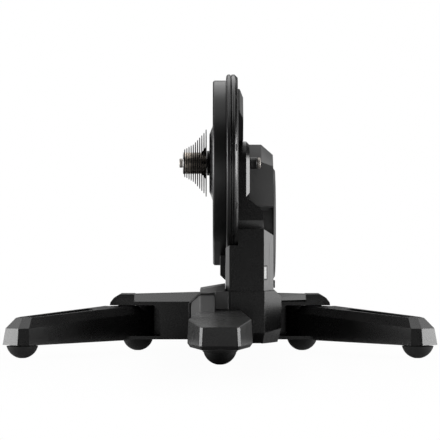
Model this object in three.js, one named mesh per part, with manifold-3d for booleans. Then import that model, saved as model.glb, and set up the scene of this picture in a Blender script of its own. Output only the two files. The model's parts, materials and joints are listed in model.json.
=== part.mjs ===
// A direct drive bike trainer: the bicycle's rear wheel comes off and its frame sits on the
// trainer's own axle and cassette. Millimetres, +Z up. The bicycle stands in front, towards -Y,
// and its chain runs on the -X side.
//
// While it is modelled, X = 0 is the bicycle's middle plane, Y = 0 is the axle and Z = 0 the floor.
// The exported group then moves the whole part so that Y = 0 is the middle of its length.
import * as THREE from "three";
import { mergeVertices } from "three/addons/utils/BufferGeometryUtils.js";
import Module from "manifold-3d";

const wasm = await Module();
wasm.setup();

// Fits
const seam = 0.3; // between two pieces that touch
const running = 0.7; // between a turning piece and what it turns beside
const beltSlack = 0.7; // between the belt and its pulleys
const past = 1; // how far a cutting tool runs past the face that it cuts

// Axle and hub
const axleLength = 142; // between the faces that the bicycle's dropouts rest on
const axleBore = 6.2; // radius, for a 12 mm through axle
const axleRadius = 7.5;
const endCapRadius = 8;
const endCapLength = 6;
const knobRadius = 10.1;
const knobLength = 12.5;
const tipRadius = 9.5;
const tipLength = 5.7;
const hubRadius = 15;
const flangeRadius = 21.6;
const flangeThickness = 4;
const hubBearingRadius = 23.7;

// Cassette
const cogTeeth = [11, 12, 13, 14, 15, 17, 19, 21, 23, 25, 28];
const chainPitch = 12.7;
const cogPitch = 3.74; // from one cog to the next along the axle
const cogThickness = 1.6;
const toothAddendum = 2.2; // above the chain's pitch circle
const toothDepth = 5.4;
const freehubRadius = 17;
const lockringRadius = 19;
const lockringThickness = 1.9;

// Round casing and belt cover
const rimRadius = 155;
const rimEdge = 3; // height of the rounding on each ridge
const casingLeft = 10.5;
const casingLeftWidth = 8.4;
const casingRightWidth = 11.6;
const casingChamfer = 4;
const coverStep = 10.5; // the belt cover's edge inside the casing's
const coverLobeRadius = 75; // round the flywheel shaft
const coverLeft = -12.5;
const coverWall = 2.5;
const bossHeight = 6;
const bossFaceRadius = 51;
const bossFootRadius = 64;

// Belt drive
const shaftBack = 118; // flywheel shaft behind the axle
const shaftRadius = 10;
const beltRoom = 22.3; // from the belt to the wall of the cover
const smallPulleyRadius = 20;
const idlerRadius = 14;
const idlerPinRadius = 5;
const idlerPlace = 0.5; // share of the straight run, from the large pulley
const idlerArmLength = 34;
const idlerArmWidth = 9; // half of it
const beltThickness = 4;
const beltClearance = 3; // from the belt to the flat of the cover
const beltWidth = 12.5;

// Flywheel and its housing
const flywheelRadius = 85;
const flywheelRimDepth = 23;
const flywheelWidth = 30;
const flywheelRoom = 4; // round its rim
const flywheelWeb = 8;
const flywheelHubRadius = 21;
const flywheelHubStep = 6;
const shaftStub = 2;
const flywheelBearingRadius = 19;
const barrelWall = 5;
const barrelClearance = 22; // above the base
const housingEndRoom = 6; // right of the flywheel, for the end windings
const housingChamfer = 18;
const housingChamferWidth = 21;
const housingFront = 14;
const housingSill = 30; // heights above the flywheel shaft
const housingBrow = 108;
const housingTop = 140;
const housingBrowDepth = 32;
const housingTopBack = 22; // behind the flywheel shaft
const housingBack = 87;
const housingBackHeight = 77;
const housingFootFront = 58; // in front of the flywheel shaft
const roundCoverLip = 7; // proud of the housing's barrel
const roundCoverThickness = 4.5;
const roundCoverChamfer = 8;
const roundCoverEdge = 1.5;
const ventCount = 12;
const ventEdge = 1; // the slots end this far inside the flywheel's rim
const ventLength = 18;
const ventWidth = 7;
const statorOuter = 58;
const statorInner = 26;
const statorPoles = 9;

// Upright
const armWidth = 20.5;
const armChamferWidth = 5.9;
const armRadius = 38;
const armChamfer = 6;
const armHeelRadius = 60; // round the flywheel shaft
const heelWall = 14; // round the bearing's boss
const pillarLeft = 20.4;
const pillarRight = 75.6;
const pillarSetback = 2; // behind the base's front, and in front of its back
const pillarRise = 67; // from the base to the round casing
const pillarFaceHeight = 107;
const pillarCove = 21;
const sideCoverFacet = 60; // how far back the slanted facet runs
const leftCoverLeft = 9.8;
const leftCoverChamfer = 13;
const leftCoverFace = 4;
const leftCoverRise = 30; // above the casing's lowest edge
const electronicsWall = 8;
const boardThickness = 1.6;
const bayBack = 16;
const lensRise = 21; // above the base
const lensHeight = 20.6;
const lensDepth = 5;
const inletY = 44;
const inletHalf = 13;
const inletRise = 3; // above the base
const inletHeight = 13;
const inletThickness = 3;
const inletHole = 3.2;

// Carry handle
const handleThickness = 9;
const handleTopHalf = 40;
const handleWideHalf = 95;
const handleFootHalf = 60;
const handleTop = 128; // above the axle
const handleWide = 86;
const handleFoot = 41;
const handleBar = 17; // width of the bar that the hand closes on
const handleBevel = 3;

// Base
const baseBottom = 21;
const baseTop = 112;
const baseFront = -62;
const baseLedge = 14; // right of the pillar's side cover
const baseWall = 6;
const baseShoulder = 12;
const baseLeftEdge = 4;
const baseLeftEdgeHeight = 6;
const baseRightEdge = 7;
const baseCrownLeft = 8; // the level top ends here
const baseCrownLip = 1; // and this far right of the side cover
const rampCorner = -34;
const rampCornerDrop = 5;
const baseFall = 22; // from the top to its left edge
const basePocketRoof = 26;
const basePocketLeft = 8;
const basePocketRight = 12;

// Crossbar
const barFront = 90;
const barDepth = 80;
const barStep = 10.4; // lower than the base
const barChamferHeight = 13.6;
const barChamferDepth = 9;
const barRearChamfer = 8;
const barPockets = 5;
const barHalfLength = 185;
const barUpperPlate = 19.6; // thickness over the slot
const barWeb = 4.5; // rear wall of the slot
const capOverhang = 12; // past the end of the crossbar
const capThickness = 7.3;
const capCorner = 14;
const capTaper = 1;
const capShoulderRise = 5.5;
const capShoulderDrop = 6.5;
const capCrownInset = 4;

// Folding legs
const hingeInset = 37; // from the end of the crossbar
const pinRadius = 6;
const legAngle = 36.7; // degrees out from the bicycle's direction
const legFootReach = 314.4; // hinge to foot
const legTipReach = 28.6; // foot to the end face
const legEyeRadius = 30;
const legSlotEnd = 11; // between the eye and the end of its slot
const legTipHalf = 24.5;
const legPlay = 1; // under the crossbar's upper plate
const legFall = 14; // from the eye's top to the tip's
const legEyeShoulder = 21;
const legTipShoulder = 17;
const legTipStep = 4;
const legTipRise = 4.9;
const legTipNarrow = 5.5;
const legPocketCount = 3;
const legPocketLength = 68;
const legPocketStart = 4; // beyond the raised underside
const legChamfer = 12;
const legTipChamfer = 14;
const legRelief = 66; // the underside is raised as far as this from the hinge
const inlayStart = 132;
const inlayGap = 21.4; // from its end to the middle of the foot
const inlayHalf = 12;
const inlayDepth = 4;
const inlaySunk = 0.8;

// Front leg
const noseFront = -337;
const noseFootReach = 32; // from the nose to the middle of its foot
const noseHalf = 30;
const noseTop = 62;
const noseBottom = 30;
const noseEdge = 6; // depth of its front edge
const frontLegHalf = 54;
const noseTaper = 87; // from the nose to where the leg is widest
const frontLegRearTop = 79;
const footRingRadius = 31.5;
const dishSetback = 14;
const dishLength = 58;
const dishHalf = 20;
const dishDrop = 1;
const dishRise = 3;
const legPocketInset = 20;
const legPocketRoof = 4;
const noseFootSink = 10; // of the foot's ring under the top
const frontPocketDepth = 70;
const frontPocketCount = 2;

// Ramp cover
const rampRight = -9.3;
const rampUnderside = 60;
const rampSetback = 12; // behind the widest place
const rampSteep = 37.7; // length of its last stretch
const rampFootTop = 75;
const rampBreakTop = 103;
const rampNarrow = 5;

// Feet
const footRadius = 28;
const footFlat = 0.5; // depth of the flat that the foot stands on

// Places that follow from the sizes above
const coverRadius = rimRadius - coverStep;
const largePulleyRadius = coverRadius - coverWall - beltRoom - beltThickness - beltSlack;
const barrelInner = flywheelRadius + flywheelRoom;
const barrelRadius = barrelInner + barrelWall;
const axleHeight = baseTop + pillarRise + rimRadius; // 334, a 700c road wheel's radius
const shaftZ = baseTop + barrelClearance + barrelRadius;
const shaftY = shaftBack;
const shaftDrop = axleHeight - shaftZ;
const roundCoverRadius = barrelRadius + roundCoverLip;
const ventOuter = flywheelRadius - ventEdge;
const ventInner = ventOuter - ventLength;
const casingMiddle = casingLeft + casingLeftWidth + seam;
const casingRight = casingMiddle + casingRightWidth;
const bossFace = coverLeft - bossHeight;
const beltLeft = coverLeft + coverWall + beltClearance;
const armLeft = casingRight + seam;
const armRight = armLeft + armWidth;
const armChamferLeft = armRight - armChamferWidth;
const housingLeft = armRight + seam;
const cavityLeft = housingLeft + barrelWall;
const flywheelLeft = cavityLeft + running;
const flywheelRight = flywheelLeft + flywheelWidth;
const housingRight = flywheelRight + housingEndRoom;
const housingChamferLeft = housingRight - housingChamferWidth;
const sideCoverRight = housingRight;
const axleEnd = axleLength / 2;
const pillarBottom = baseTop + seam;
const pillarFront = baseFront + pillarSetback;
const pillarBack = barFront - pillarSetback;
const pillarShoulder = baseTop + pillarFaceHeight;
const lensBottom = baseTop + lensRise;
const inletBottom = baseTop + inletRise;
const baseLeft = -frontLegHalf;
const baseRight = sideCoverRight + baseLedge;
const barBack = barFront + barDepth;
const barTop = baseTop - barStep;
const slotTop = barTop - barUpperPlate;
const slotBottom = baseBottom + baseWall;
const hingeX = barHalfLength - hingeInset;
const hingeY = (barFront + barBack) / 2;
const slotInner = hingeX - legEyeRadius - legSlotEnd;
const capInner = hingeX + pinRadius;
const capHalfLength = barHalfLength + capOverhang;
const legEyeTop = slotTop - legPlay;
const legTipTop = legEyeTop - legFall;
const legEyeSide = legEyeTop - legEyeShoulder;
const legTipSide = legTipTop - legTipShoulder;
const inlayEnd = legFootReach - inlayGap;
const frontFootY = noseFront + noseFootReach;
const frontLegWideY = noseFront + noseTaper;
const roundCoverRight = housingRight + seam + roundCoverThickness;

// Helpers

function outward(geometry) {
  const g = geometry.index ? geometry : mergeVertices(geometry, 1e-4);
  const p = g.getAttribute("position");
  const index = g.index.array;
  const a = new THREE.Vector3();
  const b = new THREE.Vector3();
  const c = new THREE.Vector3();
  let volume = 0;
  for (let i = 0; i < index.length; i += 3) {
    a.fromBufferAttribute(p, index[i]);
    b.fromBufferAttribute(p, index[i + 1]);
    c.fromBufferAttribute(p, index[i + 2]);
    volume += a.dot(b.cross(c));
  }
  if (volume < 0) {
    for (let i = 0; i < index.length; i += 3) {
      [index[i + 1], index[i + 2]] = [index[i + 2], index[i + 1]];
    }
  }
  return g;
}

function closed(geometry) {
  const bare = geometry.clone();
  bare.deleteAttribute("normal");
  bare.deleteAttribute("uv");
  return outward(mergeVertices(bare, 1e-4));
}

function toSolid(geometry) {
  const g = closed(geometry);
  return new wasm.Manifold(
    new wasm.Mesh({
      numProp: 3,
      vertProperties: new Float32Array(g.getAttribute("position").array),
      triVerts: new Uint32Array(g.index.array),
    }),
  );
}

function toGeometry(solid) {
  const mesh = solid.getMesh();
  const positions = new Float32Array(mesh.numVert * 3);
  for (let i = 0; i < mesh.numVert; i += 1) {
    const start = i * mesh.numProp;
    positions.set(mesh.vertProperties.subarray(start, start + 3), i * 3);
  }
  const geometry = new THREE.BufferGeometry();
  geometry.setAttribute("position", new THREE.BufferAttribute(positions, 3));
  geometry.setIndex(new THREE.BufferAttribute(new Uint32Array(mesh.triVerts), 1));
  return geometry;
}

function join(first, ...others) {
  return toGeometry(others.reduce((all, g) => all.add(toSolid(g)), toSolid(first)));
}

function cut(first, ...tools) {
  return toGeometry(tools.reduce((all, g) => all.subtract(toSolid(g)), toSolid(first)));
}

// A profile of [radius, x] points turned about the line y, z that runs along X.
function turned(profile, y, z, sides = 32) {
  const points = profile.map(([radius, x]) => new THREE.Vector2(radius, x));
  const geometry = new THREE.LatheGeometry(points, sides);
  geometry.rotateZ(-Math.PI / 2);
  geometry.translate(0, y, z);
  return closed(geometry);
}

function disc(radius, x0, x1, y, z, sides) {
  const profile = [[0, x0], [radius, x0], [radius, x1], [0, x1]];
  return turned(profile, y, z, sides);
}

function ring(inner, outer, x0, x1, y, z, sides) {
  const profile = [[inner, x0], [outer, x0], [outer, x1], [inner, x1], [inner, x0]];
  return turned(profile, y, z, sides);
}

// A profile of [radius, z] points turned about the vertical line x, y.
function upright(profile, x, y, sides = 28) {
  const points = profile.map(([radius, z]) => new THREE.Vector2(radius, z));
  const geometry = new THREE.LatheGeometry(points, sides);
  geometry.rotateX(Math.PI / 2);
  geometry.translate(x, y, 0);
  return closed(geometry);
}

function post(radius, z0, z1, x, y, sides) {
  return upright([[0, z0], [radius, z0], [radius, z1], [0, z1]], x, y, sides);
}

const sideOn = new THREE.Matrix4().makeBasis(
  new THREE.Vector3(0, 1, 0),
  new THREE.Vector3(0, 0, 1),
  new THREE.Vector3(1, 0, 0),
);

// A shape drawn in Y and Z, as thick as from x0 to x1.
function sidePlate(shape, x0, x1, bevel = 0, curveSegments = 12) {
  const geometry = new THREE.ExtrudeGeometry(shape, {
    depth: x1 - x0 - 2 * bevel,
    bevelEnabled: bevel > 0,
    bevelThickness: bevel,
    bevelSize: bevel,
    bevelOffset: -bevel,
    bevelSegments: 1,
    curveSegments,
  });
  geometry.translate(0, 0, x0 + bevel);
  geometry.applyMatrix4(sideOn);
  return closed(geometry);
}

// A shape drawn in X and Z, as deep as from y0 to y1.
function frontPlate(shape, y0, y1) {
  const geometry = new THREE.ExtrudeGeometry(shape, { depth: y1 - y0, bevelEnabled: false });
  geometry.rotateX(Math.PI / 2);
  geometry.translate(0, y1, 0);
  return closed(geometry);
}

// A shape drawn in X and Y, as high as from z0 to z1.
function floorPlate(shape, z0, z1, curveSegments = 12) {
  const geometry = new THREE.ExtrudeGeometry(shape, {
    depth: z1 - z0,
    bevelEnabled: false,
    curveSegments,
  });
  geometry.translate(0, 0, z0);
  return closed(geometry);
}

function outline(points) {
  return new THREE.Shape(points.map(([a, b]) => new THREE.Vector2(a, b)));
}

function block(x0, x1, y0, y1, z0, z1) {
  const geometry = new THREE.BoxGeometry(x1 - x0, y1 - y0, z1 - z0);
  geometry.translate((x0 + x1) / 2, (y0 + y1) / 2, (z0 + z1) / 2);
  return closed(geometry);
}

// A skin over rings of [x, y, z] points, all with as many points, closed by a fan at each end.
function loft(rings) {
  const count = rings[0].length;
  const index = [];
  for (let r = 0; r + 1 < rings.length; r += 1) {
    for (let i = 0; i < count; i += 1) {
      const a = r * count + i;
      const b = r * count + ((i + 1) % count);
      index.push(a, b, b + count, a, b + count, a + count);
    }
  }
  const last = (rings.length - 1) * count;
  for (let i = 1; i + 1 < count; i += 1) {
    index.push(0, i + 1, i, last, last + i, last + i + 1);
  }
  const geometry = new THREE.BufferGeometry();
  const positions = new Float32Array(rings.flat(2));
  geometry.setAttribute("position", new THREE.BufferAttribute(positions, 3));
  geometry.setIndex(index);
  return closed(geometry);
}

// The outline of a loop round two circles in the Y-Z plane, the first round the axle and the
// second round the flywheel shaft.
function loopRound(axleCircle, shaftCircle) {
  const distance = Math.hypot(shaftBack, shaftDrop);
  const heading = Math.atan2(-shaftDrop, shaftBack);
  const spread = Math.acos((axleCircle - shaftCircle) / distance);
  const path = new THREE.Shape();
  path.absarc(0, axleHeight, axleCircle, heading + spread, heading - spread + 2 * Math.PI, false);
  path.absarc(shaftY, shaftZ, shaftCircle, heading - spread, heading + spread, false);
  path.closePath();
  return path;
}

// Pulls the corners of a convex outline in by one distance.
function inset(points, distance) {
  const count = points.length;
  const turn = THREE.ShapeUtils.area(points.map(([a, b]) => new THREE.Vector2(a, b))) < 0 ? -1 : 1;
  return points.map((point, i) => {
    const before = points[(i + count - 1) % count];
    const after = points[(i + 1) % count];
    const inA = inwardNormal(before, point, turn);
    const inB = inwardNormal(point, after, turn);
    const scale = distance / (1 + inA[0] * inB[0] + inA[1] * inB[1]);
    return [point[0] + (inA[0] + inB[0]) * scale, point[1] + (inA[1] + inB[1]) * scale];
  });
}

function inwardNormal([a0, b0], [a1, b1], turn) {
  const length = Math.hypot(a1 - a0, b1 - b0);
  return [(-turn * (b1 - b0)) / length, (turn * (a1 - a0)) / length];
}

function atX(points, x) {
  return points.map(([y, z]) => [x, y, z]);
}

function mirrored(points) {
  return points.map(([a, b]) => [-a, b]);
}

// Finishes
function finish(color, roughness, metalness) {
  return new THREE.MeshStandardMaterial({ color, roughness, metalness });
}

const blackCasting = finish(0x26272a, 0.5, 0.2);
const blackPlastic = finish(0x1d1e20, 0.55, 0);
const greyPlastic = finish(0x3a3b3e, 0.5, 0);
const rubber = finish(0x101010, 0.85, 0);
const steel = finish(0x8c8884, 0.3, 1);
const cogSteel = finish(0x8a7a70, 0.32, 1);
const darkSteel = finish(0x4a4a4c, 0.4, 1);
const alloy = finish(0xb4b4b6, 0.35, 1);
const copper = finish(0xa86436, 0.4, 1);
const boardGreen = finish(0x1f4a33, 0.6, 0);
const lensClear = finish(0xd8dadc, 0.2, 0);
const beltRubber = finish(0x141414, 0.8, 0);

const trainer = new THREE.Group();

function add(name, geometry, material, parent = trainer) {
  const mesh = new THREE.Mesh(geometry, material);
  mesh.name = name;
  parent.add(mesh);
  return mesh;
}

// Axle, which the bicycle's frame rests on
const leftFace = -axleEnd;
const capInnerFace = leftFace + endCapLength;
const knobLeft = axleEnd - tipLength - seam - knobLength;
add(
  "axle",
  ring(axleBore, axleRadius, capInnerFace + seam, knobLeft - seam, 0, axleHeight, 18),
  steel,
);
add("left_end_cap", ring(axleBore, endCapRadius, leftFace, capInnerFace, 0, axleHeight, 18), alloy);
add(
  "right_axle_knob",
  ring(axleBore, knobRadius, knobLeft, knobLeft + knobLength, 0, axleHeight, 18),
  blackPlastic,
);
add(
  "right_axle_tip",
  ring(axleBore, tipRadius, axleEnd - tipLength, axleEnd, 0, axleHeight, 18),
  alloy,
);

// Hub shaft and large pulley, one turning body
const hubBore = axleRadius + running;
const flangeRight = bossFace - seam;
const flangeLeft = flangeRight - flangeThickness;
const hubRight = knobLeft - running;
add(
  "hub_shaft",
  turned(
    [
      [hubBore, flangeLeft],
      [flangeRadius, flangeLeft],
      [flangeRadius, flangeRight],
      [hubRadius, flangeRight],
      [hubRadius, hubRight],
      [hubBore, hubRight],
      [hubBore, flangeLeft],
    ],
    0,
    axleHeight,
    24,
  ),
  darkSteel,
);
const pulleyFlange = 0.5;
const pulleyLeft = beltLeft - pulleyFlange;
const pulleyRight = beltLeft + beltWidth + pulleyFlange;
const webHalf = 2;
const pulleyMiddle = (pulleyLeft + pulleyRight) / 2;
const pulleyBoss = 27;
const pulleyRimDepth = 8;
const lighteningRadius = 22;
const largePulleyBlank = turned(
  [
    [hubRadius + seam, pulleyLeft],
    [pulleyBoss, pulleyLeft],
    [pulleyBoss, pulleyMiddle - webHalf],
    [largePulleyRadius - pulleyRimDepth, pulleyMiddle - webHalf],
    [largePulleyRadius - pulleyRimDepth, pulleyLeft],
    [largePulleyRadius, pulleyLeft],
    [largePulleyRadius, pulleyRight],
    [largePulleyRadius - pulleyRimDepth, pulleyRight],
    [largePulleyRadius - pulleyRimDepth, pulleyMiddle + webHalf],
    [pulleyBoss, pulleyMiddle + webHalf],
    [pulleyBoss, pulleyRight],
    [hubRadius + seam, pulleyRight],
    [hubRadius + seam, pulleyLeft],
  ],
  0,
  axleHeight,
  40,
);
const lightening = Array.from({ length: 6 }, (_, i) => {
  const angle = (i * Math.PI) / 3;
  const reach = (pulleyBoss + largePulleyRadius - pulleyRimDepth) / 2;
  const y = reach * Math.cos(angle);
  const z = axleHeight + reach * Math.sin(angle);
  return disc(lighteningRadius, pulleyLeft, pulleyRight, y, z, 10);
});
add("large_pulley", cut(largePulleyBlank, ...lightening), alloy);

// Freehub and cogs, one turning body
const freehubRight = flangeLeft - seam;
const largestCogX = flangeLeft - running - cogThickness / 2;
const smallestCogX = largestCogX - cogPitch * (cogTeeth.length - 1);
const lockringRight = smallestCogX - cogThickness / 2 - seam;
const lockringLeft = lockringRight - lockringThickness;
add(
  "freehub_body",
  ring(hubBore, freehubRadius, lockringRight + seam, freehubRight, 0, axleHeight, 18),
  steel,
);
add("lockring", ring(hubBore, lockringRadius, lockringLeft, lockringRight, 0, axleHeight, 18), steel);

function cogShape(teeth) {
  const tip = chainPitch / (2 * Math.sin(Math.PI / teeth)) + toothAddendum;
  const root = tip - toothDepth;
  const step = (2 * Math.PI) / teeth;
  const shape = new THREE.Shape();
  for (let i = 0; i < teeth; i += 1) {
    [[root, 0], [tip, 0.42], [tip, 0.58]].forEach(([radius, share], k) => {
      const angle = (i + share) * step;
      const y = radius * Math.cos(angle);
      const z = axleHeight + radius * Math.sin(angle);
      if (i === 0 && k === 0) shape.moveTo(y, z);
      else shape.lineTo(y, z);
    });
  }
  shape.closePath();
  const bore = new THREE.Path();
  bore.absarc(0, axleHeight, freehubRadius + seam, 0, 2 * Math.PI, true);
  shape.holes.push(bore);
  return shape;
}

cogTeeth.forEach((teeth, i) => {
  const x = smallestCogX + i * cogPitch;
  const plate = sidePlate(cogShape(teeth), x - cogThickness / 2, x + cogThickness / 2, 0, 9);
  add(`cog_${teeth}`, plate, cogSteel);
});

// Belt drive inside the cover
add(
  "small_pulley",
  ring(shaftRadius + seam, smallPulleyRadius, pulleyLeft, pulleyRight, shaftY, shaftZ, 20),
  alloy,
);
const beltInside = [largePulleyRadius + beltSlack, smallPulleyRadius + beltSlack];
const beltShape = loopRound(...beltInside.map((radius) => radius + beltThickness));
beltShape.holes.push(loopRound(...beltInside));
add("belt", sidePlate(beltShape, beltLeft, beltLeft + beltWidth, 0, 14), beltRubber);

// The lower straight run of the belt and the idler that presses on its back
const shaftDistance = Math.hypot(shaftBack, shaftDrop);
const runHeading =
  Math.atan2(-shaftDrop, shaftBack) -
  Math.acos((largePulleyRadius - smallPulleyRadius) / shaftDistance);
const runNormal = [Math.cos(runHeading), Math.sin(runHeading)];
const runStart = [largePulleyRadius * runNormal[0], axleHeight + largePulleyRadius * runNormal[1]];
const runEnd = [
  shaftY + smallPulleyRadius * runNormal[0],
  shaftZ + smallPulleyRadius * runNormal[1],
];
const idlerOffset = 2 * beltSlack + beltThickness + idlerRadius;
const idlerY =
  runStart[0] + (runEnd[0] - runStart[0]) * idlerPlace + runNormal[0] * idlerOffset;
const idlerZ =
  runStart[1] + (runEnd[1] - runStart[1]) * idlerPlace + runNormal[1] * idlerOffset;
add(
  "idler_pulley",
  ring(idlerPinRadius + seam, idlerRadius, pulleyLeft, pulleyRight, idlerY, idlerZ, 20),
  darkSteel,
);
const idlerArmLeft = pulleyRight + seam;
const armShape = new THREE.Shape();
armShape.absarc(idlerY, idlerZ, idlerArmWidth, -Math.PI / 2, Math.PI / 2, false);
armShape.absarc(
  idlerY - idlerArmLength,
  idlerZ,
  idlerArmWidth,
  Math.PI / 2,
  (3 * Math.PI) / 2,
  false,
);
armShape.closePath();
add(
  "idler_arm",
  join(
    sidePlate(armShape, idlerArmLeft, casingLeft - seam, 0, 6),
    disc(idlerPinRadius, pulleyLeft, idlerArmLeft + past, idlerY, idlerZ, 16),
  ),
  alloy,
);

// Casing halves behind the belt
const shaftHole = shaftRadius + running;
const hubHole = hubRadius + running;
const bearingSeat = hubBearingRadius + seam;
const shaftBearingSeat = flywheelBearingRadius + seam;
const casingRing = turned(
  [
    [0, casingLeft],
    [rimRadius - 2 * rimEdge, casingLeft],
    [rimRadius - rimEdge / 2, casingLeft + rimEdge / 2],
    [rimRadius, casingLeft + 1.4 * rimEdge],
    [rimRadius - rimEdge / 3, casingMiddle - seam - rimEdge / 3],
    [rimRadius - rimEdge, casingMiddle - seam],
    [0, casingMiddle - seam],
  ],
  0,
  axleHeight,
  52,
);
const lobePlate = sidePlate(
  loopRound(coverRadius, coverLobeRadius),
  casingLeft,
  casingMiddle - seam,
  0,
  14,
);
add(
  "casing_left",
  cut(
    join(casingRing, lobePlate),
    disc(hubHole, casingLeft - past, casingMiddle, 0, axleHeight, 20),
    disc(shaftHole, casingLeft - past, casingMiddle, shaftY, shaftZ, 20),
  ),
  blackPlastic,
);
const bearingDepth = 9;
const casingDisc = turned(
  [
    [0, casingMiddle],
    [rimRadius - rimEdge, casingMiddle],
    [rimRadius - rimEdge / 3, casingMiddle + rimEdge / 3],
    [rimRadius, casingMiddle + 1.4 * rimEdge],
    [rimRadius - rimEdge / 3, casingRight - casingChamfer],
    [rimRadius - rimEdge / 3 - casingChamfer, casingRight],
    [0, casingRight],
  ],
  0,
  axleHeight,
  52,
);
const bearingBossRadius = armHeelRadius - heelWall;
const casingWeb = loopRound(coverRadius, bearingBossRadius);
add(
  "casing_right",
  cut(
    join(casingDisc, sidePlate(casingWeb, casingMiddle, casingRight, 0, 14)),
    disc(hubHole, casingMiddle - past, casingRight + past, 0, axleHeight, 20),
    disc(bearingSeat, casingRight - bearingDepth, casingRight + past, 0, axleHeight, 28),
    disc(shaftHole, casingMiddle - past, casingRight + past, shaftY, shaftZ, 20),
    disc(shaftBearingSeat, casingRight - bearingDepth, casingRight + past, shaftY, shaftZ, 28),
  ),
  blackCasting,
);
const casingBearingLeft = casingRight - bearingDepth + seam;
add(
  "hub_bearing_left",
  ring(hubRadius + seam, hubBearingRadius, casingBearingLeft, casingRight, 0, axleHeight, 18),
  steel,
);
add(
  "flywheel_bearing_left",
  ring(
    shaftRadius + seam,
    flywheelBearingRadius,
    casingBearingLeft,
    casingRight,
    shaftY,
    shaftZ,
    18,
  ),
  steel,
);

// Belt cover, a deep shell with a raised boss round the hub
const coverRight = casingLeft - seam;
const coverShell = cut(
  join(
    sidePlate(loopRound(coverRadius, coverLobeRadius), coverLeft, coverRight, 0, 16),
    turned(
      [
        [0, bossFace],
        [bossFaceRadius, bossFace],
        [bossFootRadius, coverLeft],
        [bossFootRadius, coverLeft + past],
        [0, coverLeft + past],
      ],
      0,
      axleHeight,
      36,
    ),
  ),
  sidePlate(
    loopRound(coverRadius - coverWall, coverLobeRadius - coverWall),
    coverLeft + coverWall,
    coverRight + past,
    0,
    12,
  ),
  turned(
    [
      [0, bossFace + coverWall],
      [bossFaceRadius - coverWall, bossFace + coverWall],
      [bossFaceRadius, coverLeft + coverWall],
      [bossFaceRadius, coverLeft + coverWall + past],
      [0, coverLeft + coverWall + past],
    ],
    0,
    axleHeight,
    28,
  ),
  disc(hubHole, bossFace - past, coverLeft, 0, axleHeight, 20),
);
add("belt_cover", coverShell, blackPlastic);

// Flywheel, its shaft and its brake
const webRight = flywheelLeft + flywheelWeb;
const flywheelHubRight = webRight + flywheelHubStep;
const shaftLeft = pulleyLeft - shaftStub;
const shaftRight = flywheelHubRight + shaftStub;
add("flywheel_shaft", disc(shaftRadius, shaftLeft, shaftRight, shaftY, shaftZ, 20), steel);
const flywheelRimInner = flywheelRadius - flywheelRimDepth;
add(
  "flywheel",
  turned(
    [
      [shaftRadius + seam, flywheelLeft],
      [flywheelRadius, flywheelLeft],
      [flywheelRadius, flywheelRight],
      [flywheelRimInner, flywheelRight],
      [flywheelRimInner, webRight],
      [flywheelHubRadius, webRight],
      [flywheelHubRadius, flywheelHubRight],
      [shaftRadius + seam, flywheelHubRight],
      [shaftRadius + seam, flywheelLeft],
    ],
    shaftY,
    shaftZ,
    36,
  ),
  darkSteel,
);

function statorShape() {
  const shape = new THREE.Shape();
  const step = (2 * Math.PI) / statorPoles;
  const neck = (statorOuter + statorInner) / 2;
  const places = [[neck, 0.08], [statorOuter, 0.12], [statorOuter, 0.88], [neck, 0.92]];
  for (let i = 0; i < statorPoles; i += 1) {
    places.forEach(([radius, share], k) => {
      const angle = (i + share) * step;
      const y = shaftY + radius * Math.cos(angle);
      const z = shaftZ + radius * Math.sin(angle);
      if (i === 0 && k === 0) shape.moveTo(y, z);
      else shape.lineTo(y, z);
    });
  }
  shape.closePath();
  const bore = new THREE.Path();
  bore.absarc(shaftY, shaftZ, statorInner, 0, 2 * Math.PI, true);
  shape.holes.push(bore);
  return shape;
}
add(
  "brake_stator",
  sidePlate(statorShape(), flywheelHubRight + running, housingRight, 0, 12),
  copper,
);

// Flywheel housing: a round barrel under an angular shoulder
const shoulderOutline = [
  [housingFront, shaftZ + housingSill],
  [housingFront, shaftZ + housingBrow],
  [housingFront + housingBrowDepth, shaftZ + housingTop],
  [shaftY + housingTopBack, shaftZ + housingTop],
  [shaftY + housingBack, shaftZ + housingBackHeight],
  [shaftY + housingBack, shaftZ],
  [shaftY - housingFootFront, shaftZ],
];
const shoulder = loft([
  atX(shoulderOutline, housingLeft),
  atX(shoulderOutline, housingChamferLeft),
  atX(inset(shoulderOutline, housingChamfer), housingRight),
]);
const barrel = disc(barrelRadius, housingLeft, housingRight, shaftY, shaftZ, 44);
add(
  "flywheel_housing",
  cut(
    join(barrel, shoulder),
    disc(barrelInner, cavityLeft, housingRight + past, shaftY, shaftZ, 36),
    disc(shaftHole, housingLeft - past, cavityLeft + past, shaftY, shaftZ, 20),
  ),
  blackPlastic,
);
const vents = Array.from({ length: ventCount }, (_, i) => {
  const slot = block(
    housingRight,
    roundCoverRight + past,
    -ventWidth / 2,
    ventWidth / 2,
    ventInner,
    ventOuter,
  );
  slot.rotateX((i * 2 * Math.PI) / ventCount);
  slot.translate(0, shaftY, shaftZ);
  return slot;
});
const roundCoverLeft = housingRight + seam;
add(
  "flywheel_cover",
  cut(
    turned(
      [
        [0, roundCoverLeft],
        [roundCoverRadius, roundCoverLeft],
        [roundCoverRadius, roundCoverLeft + roundCoverEdge],
        [roundCoverRadius - roundCoverChamfer, roundCoverRight],
        [0, roundCoverRight],
      ],
      shaftY,
      shaftZ,
      44,
    ),
    ...vents,
  ),
  blackPlastic,
);

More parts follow.
